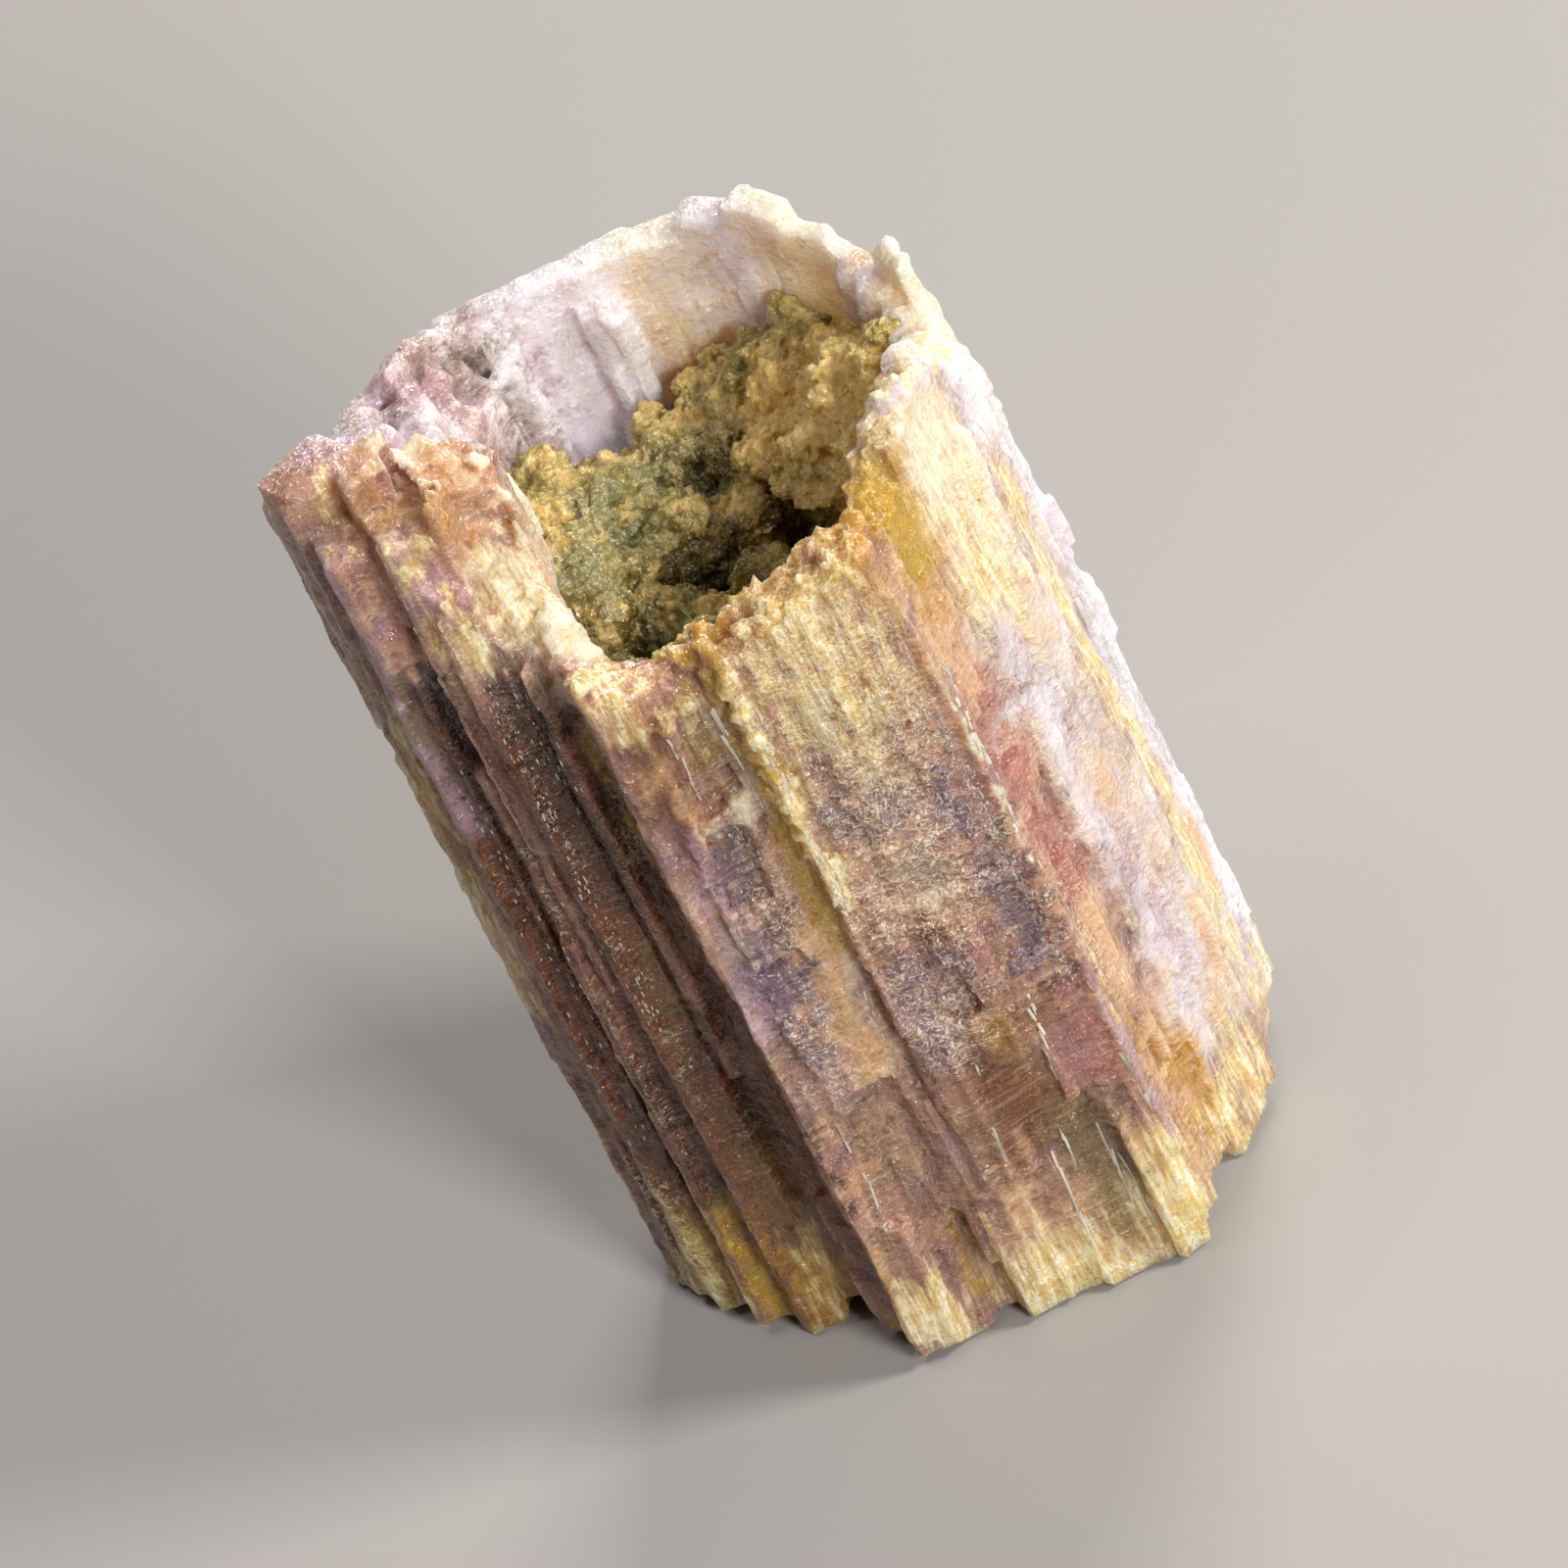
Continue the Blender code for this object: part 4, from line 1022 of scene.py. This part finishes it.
# Flakes split off the front: x and z of the middle, width, height, depth, and turn in degrees.
CLEAVAGES = (
    (2.2, 10.6, 2.8, 5.6, 0.36, (2.0, 4.0, 5.0)), (4.9, 12.2, 2.2, 5.0, 0.36, (-3.0, -5.0, -6.0)),
    (3.3, 4.4, 2.7, 7.6, 0.50, (0.0, 1.0, 0.0)), (2.6, 23.6, 6.4, 1.6, 0.26, (9.0, 3.0, 0.0)),
    (2.2, 28.4, 4.4, 2.6, 0.20, (-7.0, -4.0, 4.0)), (4.6, 20.0, 2.4, 4.2, 0.40, (3.0, 3.0, -5.0)),
    (1.0, 18.0, 2.6, 3.0, 0.34, (-5.0, -8.0, 5.0)), (-3.6, 28.0, 2.2, 4.0, 0.25, (4.0, 6.0, 3.0)),
    (-4.0, 21.4, 2.4, 3.2, 0.25, (-4.0, -5.0, -4.0)), (-3.9, 10.6, 2.0, 6.4, 0.36, (1.0, 3.0, 3.0)),
    (8.0, 27.0, 1.6, 3.4, 0.22, (3.0, -4.0, 30.0)), (8.2, 21.4, 1.8, 3.6, 0.22, (-4.0, 4.0, 32.0)),
)


def split_flakes(piece):
    for x, z, width, height, depth, turn in CLEAVAGES:
        start = Vector((x, -40.0, z)) * MM
        found, point, _, _ = piece.ray_cast(start, Vector((0.0, 1.0, 0.0)))
        if found:
            cut_slope(piece, (x, point.y / MM - 1.5 + depth, z), (width, 3.0, height), turn)


def make_crystal_body():
    body = copy_of_node("aragonite_crystal", "crystal_body")
    cut_slope(body, (-5.2, -6.3, 44.6), (4.2, 9.0, 6.0), (50.0, 0.0, -12.0))
    cut_slope(body, (-11.6, -3.3, 46.6), (2.8, 3.6, 4.2), (2.0, 0.0, 0.0))
    cut_slope(body, (-7.4, -3.4, 47.0), (1.6, 3.9, 3.8), (3.0, 4.0, 0.0))
    split_flakes(body)
    stand_blades(body, random.Random(5))
    fuse(body, 0.14)

    points = points_of(body)
    lower = 1.0 - ramp_up(points[:, 2], 1.5, 3.5)
    back_rim = ramp_up(points[:, 2], 37.5, 38.8) * ramp_up(points[:, 1], 1.5, 4.0)
    soften(body, mark_zone(body, "rounded", np.maximum(lower, back_rim)), 14)

    rough = 1.0 - brush(points, SMOOTH_STONE)
    rough = rough * (1.0 - 0.75 * back_rim)
    rough_zone = mark_zone(body, "rough", rough)
    trunks = add_grain_axis("trunk grain", 1.0, 30.0, 15)
    plates = add_grain_axis("plate grain", 1.0, 8.0, 5)
    fibres = add_grain_axis("fibre grain", 1.0, 14.0)
    grit = add_grain_axis("grit grain", 1.0, 1.0)
    carve(body, cells("columns", 1.7, "INTENSITY", (-1, 1, 0, 0)), trunks, 0.20, zone=rough_zone)
    carve(body, cells("plates", 0.9), plates, 0.30, zone=rough_zone)
    carve(body, cells("small plates", 0.4), plates, 0.14, zone=rough_zone)
    carve(body, clouds("fibres", 0.35), fibres, 0.15, zone=rough_zone)
    carve(body, clouds("grit", 0.5), grit, 0.10, zone=rough_zone)
    granular = mark_zone(body, "granular", brush(points, GRANULAR_STONE))
    crystals = add_grain_axis("small crystal grain", 1.0, 0.7)
    carve(body, cells("small crystals", 0.65), crystals, 0.34, zone=granular)
    carve(body, clouds("crystal grit", 0.4, 3), crystals, 0.24, zone=granular)
    carve(body, clouds("swell", 2.4), grit, 0.30)

    points = points_of(body)
    back = np.maximum(ramp_up(facings_of(body)[:, 1], 0.0, 0.4), 1.0 - ramp_up(points[:, 2], 0.1, 0.6))
    thin_out(body, BODY_TRIANGLES, mark_zone(body, "spare", 0.3 + 0.4 * back))
    low, high = CAD_BOX
    fit_in_box(body, low, high)
    body.vertex_groups.clear()

    fibrous, mottled = ragged(points_of(body), 1.8), ragged(points_of(body), 0.2)
    up = ramp_up(facings_of(body)[:, 2], 0.3, 0.75)
    round_back = stains_round_the_back(random.Random(8))
    rim_tops = {name: up * brush(mottled, strokes) for name, strokes in RIM_TOPS.items()}
    for name in PIGMENTS:
        points = fibrous if name in ("cream", "gold", "peach", "umber_and_shade") else mottled
        strokes = [*PAINT_STROKES.get(name, ()), *GROUNDS.get(name, ()), *round_back.get(name, ())]
        cover = brush(points, strokes)
        paint(body, name, np.maximum(cover, rim_tops.get(name, 0.0)))
    body.data.materials.append(crystal_stone())
    pick(body)
    bpy.ops.object.shade_smooth_by_angle(angle=math.radians(38))
    return body


CRUST_PITS = (
    (0.5, -1.0, 1.3), (-3.2, -4.4, 1.1), (2.1, 4.2, 1.0), (4.3, 0.0, 1.3), (-0.9, -0.2, 0.9),
)


# Flat ledges of the crust: centre, radius and thickness, in millimetres.
TERRACE = (
    (7.6, 0.6, 36.3, 2.0, 0.5), (9.4, 0.4, 36.9, 1.7, 0.4), (6.4, -1.2, 35.4, 1.3, 0.5),
    (8.6, -2.2, 36.3, 1.4, 0.4), (5.2, 1.6, 35.2, 1.3, 0.5), (9.0, -3.8, 37.2, 1.0, 0.4),
    (-4.6, 1.0, 35.6, 1.3, 0.9), (-5.2, -0.6, 37.6, 1.0, 1.2), (-3.6, 3.0, 35.4, 1.5, 0.9),
    (-4.2, 4.6, 36.0, 1.4, 0.9), (-2.0, 4.6, 34.0, 1.3, 0.8), (-4.0, -1.8, 37.0, 0.8, 1.3),
    (-3.9, -3.2, 35.6, 0.6, 1.3), (-4.1, -5.2, 34.2, 0.5, 1.2), (-3.8, -7.2, 35.4, 0.6, 0.8),
    (-1.8, -1.3, 32.5, 0.8, 1.3), (2.4, -1.6, 32.4, 0.8, 1.3), (-0.3, -3.2, 32.5, 0.8, 1.2),
    (1.6, -3.8, 32.5, 0.8, 1.3), (3.7, -3.4, 32.8, 0.9, 1.3), (-1.9, 1.3, 32.9, 0.7, 1.3),
    (2.9, 1.2, 33.0, 0.8, 1.3), (0.4, 2.9, 32.8, 0.8, 1.2), (-2.0, -4.6, 32.5, 0.7, 1.2),
    (-2.6, -7.6, 35.4, 0.6, 1.6), (-1.0, -7.7, 35.6, 0.7, 1.6), (0.8, -7.6, 35.8, 0.7, 1.6),
    (2.4, -7.8, 36.0, 0.7, 1.6), (4.0, -7.7, 36.2, 0.7, 1.7), (5.4, -7.4, 36.4, 0.7, 1.7),
)


def make_crust():
    crust = copy_of_node("hollow_crust", "crust_body")
    dice = random.Random(12)
    nodule = model_nodule()
    places = []
    while len(places) < 1500:
        x, y = dice.uniform(-8.0, 12.0), dice.uniform(-9.0, 10.0)
        point, facing = surface_below(crust, x, y)
        if point is None or facing.z < 0.2:
            continue
        pit = min(math.hypot(x - px, y - py) / radius for px, py, radius in CRUST_PITS)
        if dice.random() > pit - 0.4:
            continue
        size = 0.22 + 0.75 * dice.random() ** 2.2
        sizes = [size * dice.uniform(0.7, 1.2) for _ in range(3)]
        place = (point.x, point.y, point.z + size * dice.uniform(-0.3, 0.45))
        places.append((place, sizes, free_turn(dice)))
    for x, y, z, radius, deep in TERRACE:
        for _ in range(26):
            turn, reach = dice.uniform(0.0, math.tau), radius * math.sqrt(dice.random())
            place = (x + reach * math.cos(turn), y + reach * math.sin(turn), z - 0.4 * dice.random())
            size = dice.uniform(0.5, 1.1)
            places.append((place, (size * 1.3, size, deep * dice.uniform(0.6, 1.3)), Matrix.Identity(3)))
    knobs = place_copies(nodule, places, "knobs")
    pick(crust, knobs)
    bpy.ops.object.join()
    bpy.data.objects.remove(nodule)
    fuse(crust, 0.11)
    lumps = add_grain_axis("lump grain", 1.0, 1.0)
    carve(crust, cells("small nodules", 0.55, "INTENSITY", (-1, 1, 0, 0)), lumps, 0.40)
    carve(crust, cells("broken grains", 0.5), lumps, 0.30)
    carve(crust, clouds("crumbs", 0.4, 4), lumps, 0.55)
    thin_out(crust, CRUST_TRIANGLES)
    points = ragged(points_of(crust), 0.0)
    for name in CRUST_PIGMENTS:
        paint(crust, name, brush(points, CRUST_PAINT_STROKES.get(name, ())))
    crust.data.materials.append(crust_stone())
    pick(crust)
    bpy.ops.object.shade_smooth_by_angle(angle=math.radians(50))
    return crust


CRUST_PAINT_STROKES = {
    "gold": (
        (6.0, 3.0, 34.5, 37.5, 2.2, 0.9), (7.4, 0.2, 35.5, 38.5, 2.2, 0.9),
        (5.0, 1.0, 34.4, 36.5, 1.4, 0.6), (9.6, -1.5, 37.0, 39.5, 2.0, 0.9),
        (7.8, -3.6, 34.5, 38.0, 2.0, 1.0), (3.0, -7.8, 36.0, 39.0, 1.6, 0.8),
        (5.4, -7.2, 34.0, 39.0, 1.6, 1.0), (-5.0, 0.4, 36.0, 39.5, 1.4, 0.2),
        (9.0, 3.0, 35.5, 38.5, 2.0, 0.7),
    ),
    "cream": (
        (8.6, 1.0, 37.0, 39.0, 1.6, 0.8), (6.0, 5.0, 35.0, 38.0, 1.4, 0.4),
        (9.4, -1.6, 36.0, 39.0, 1.8, 0.7),
        # The broad stroke at 7.5, 0.5 is painted light: it brightens the terrace that the right wall shades.
        (7.5, 0.5, 35.0, 38.6, 2.8, 1.0), (5.8, 3.4, 34.6, 37.0, 1.8, 0.6), (-3.4, 4.1, 35.6, 38.0, 1.4, 0.25), (-1.0, 7.0, 33.0, 36.0, 1.6, 0.4),
    ),
    "smoke": (
        (-1.5, 2.0, 30.0, 36.0, 1.8, 0.9), (2.5, 4.6, 30.0, 36.0, 1.6, 0.9),
        (-3.3, -2.6, 30.0, 39.5, 1.6, 1.0), (-3.8, -5.4, 30.0, 39.0, 1.6, 1.0),
        (-3.0, 1.0, 33.0, 37.0, 1.4, 0.7), (0.5, 5.5, 31.0, 36.0, 1.8, 0.7),
    ),
    # Partly painted shade: these strokes are centred on the pits and darken them and the crust round them; olive is
    # also the crust's own tone.
    "olive": (
        (0.6, -0.4, 29.0, 33.6, 1.8, 1.0), (-3.0, -4.0, 29.0, 35.4, 0.9, 1.0),
        (2.2, 4.4, 29.0, 33.6, 1.3, 0.9), (4.3, 0.0, 29.0, 34.4, 1.3, 1.0),
        (-1.0, 0.4, 29.0, 33.0, 1.3, 1.0), (-4.5, -3.6, 33.0, 37.0, 0.6, 1.0),
        (5.4, -0.6, 29.0, 34.0, 1.4, 0.9), (-1.0, -7.6, 34.0, 39.0, 1.4, 0.5),
        (6.2, -1.6, 35.0, 36.6, 0.7, 0.6), (1.5, -2.6, 29.0, 33.0, 1.6, 0.8),
    ),
    # Painted shade: these strokes darken the pits of the crust.
    "maroon_and_shade": (
        (0.8, 0.5, 29.0, 32.6, 1.2, 1.0), (-3.0, -4.4, 29.0, 35.0, 0.5, 1.0),
        (2.2, 4.4, 29.0, 32.6, 0.9, 0.9), (4.3, 0.1, 29.0, 33.6, 0.9, 1.0),
        (-1.0, 0.5, 29.0, 32.4, 0.8, 0.9), (-2.7, -3.6, 29.0, 36.0, 0.4, 0.9),
    ),
}


# Thin pale crystals in lines down the front: x at the foot and at the head, foot and head
# heights, how many, their radius, how far they stray and their length, in millimetres.
SEAMS = (
    (-3.7, -3.7, 31.6, 35.6, 7, 0.05, 0.04, 1.6), (-1.8, -1.7, 30.4, 35.2, 9, 0.06, 0.06, 1.4),
    (-4.8, -4.8, 8.8, 14.3, 8, 0.05, 0.10, 1.4), (-0.8, -0.6, 24.0, 36.0, 40, 0.06, 0.2, 0.35),
    (-2.0, -1.7, 14.9, 19.8, 20, 0.06, 0.2, 0.35),
    (0.2, 0.85, 9.1, 14.0, 12, 0.05, 0.02, 1.2), (3.3, 3.8, 11.1, 15.8, 14, 0.06, 0.02, 1.2),
    (2.5, 2.6, 6.4, 8.8, 6, 0.06, 0.03, 1.2), (1.7, 1.8, 1.7, 6.9, 8, 0.045, 0.02, 1.8),
    (3.8, 3.9, 3.4, 9.0, 9, 0.045, 0.02, 1.8), (4.2, 4.3, 1.1, 5.3, 7, 0.045, 0.02, 1.6),
    (6.0, 6.1, 7.6, 15.5, 16, 0.05, 0.05, 1.0), (6.35, 6.6, 23.9, 32.8, 40, 0.07, 0.12, 0.4),
    (8.6, 8.7, 13.0, 14.4, 6, 0.07, 0.1, 0.5), (-9.1, -8.9, 18.0, 40.6, 110, 0.045, 0.36, 0.2),
    (5.6, 5.5, 15.7, 31.0, 170, 0.045, 0.26, 0.18), (-7.9, -7.6, 30.0, 40.0, 30, 0.045, 0.5, 0.3),
    (1.4, 1.6, 31.0, 38.4, 110, 0.05, 1.3, 0.25), (4.4, 4.6, 31.0, 39.4, 120, 0.05, 1.5, 0.25),
    (-10.4, -10.2, 36.0, 43.6, 12, 0.05, 0.3, 0.5), (-3.0, -2.8, 22.0, 30.0, 80, 0.045, 0.9, 0.16),
    (2.4, 2.6, 17.0, 33.0, 320, 0.045, 2.2, 0.16), (8.6, 8.4, 20.0, 33.0, 40, 0.06, 0.25, 0.3),
    (-3.4, -3.2, 14.0, 21.0, 60, 0.045, 0.8, 0.16), (-11.6, -11.4, 10.0, 34.0, 60, 0.04, 0.8, 0.2),
)


def pale_stone():
    stone = bpy.data.materials.new("pale aragonite")
    stone.use_nodes = True
    shader = stone.node_tree.nodes["Principled BSDF"]
    shader.inputs["Base Color"].default_value = pigment(255, 240, 206)
    shader.inputs["Roughness"].default_value = 0.18
    shader.inputs["Specular IOR Level"].default_value = 0.9
    shader.inputs["Subsurface Weight"].default_value = 0.7
    shader.inputs["Subsurface Radius"].default_value = (1.0, 0.85, 0.7)
    shader.inputs["Subsurface Scale"].default_value = 0.6 * MM
    return stone


def make_pale_crystals(body):
    """Thin crystals grown along the seams and under the rim."""
    dice = random.Random(21)
    blade = model_blade()
    places = []
    for foot_x, head_x, foot, head, count, radius, stray, length in SEAMS:
        for _ in range(count):
            share = dice.random()
            x = foot_x + share * (head_x - foot_x) + dice.gauss(0.0, 0.5) * stray
            z = foot + share * (head - foot)
            start = Vector((x, -40.0, z)) * MM
            found, point, _, _ = body.ray_cast(start, Vector((0.0, 1.0, 0.0)))
            if not found or point.y > 3.0 * MM:
                continue
            thick = radius * dice.uniform(0.6, 1.4)
            long = length * dice.uniform(0.6, 1.3)
            turn = Matrix.Rotation(dice.gauss(0.0, 0.05), 3, "Y") @ Matrix.Rotation(
                dice.uniform(0.0, math.tau), 3, "Z"
            )
            place = point / MM + Vector((0.0, 0.75 * thick, -0.5 * long))
            places.append((place, (thick, thick, long), turn))
    piece = place_copies(blade, places, "pale_crystals")
    bpy.data.objects.remove(blade)
    piece.data.materials.append(pale_stone())
    return piece


def clear_helpers():
    for thing in list(bpy.data.objects):
        if thing.type == "EMPTY" and thing.name.endswith("grain"):
            bpy.data.objects.remove(thing)


def main():
    add_camera()
    add_studio()
    body = make_crystal_body()
    crust = make_crust()
    pale = make_pale_crystals(body)
    clear_helpers()
    for piece, node, slot in (
        (body, "aragonite_crystal", "crystal"),
        (crust, "hollow_crust", "crust"),
    ):
        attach(piece, "root")
        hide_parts(node)
    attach(pale, "root")


main()
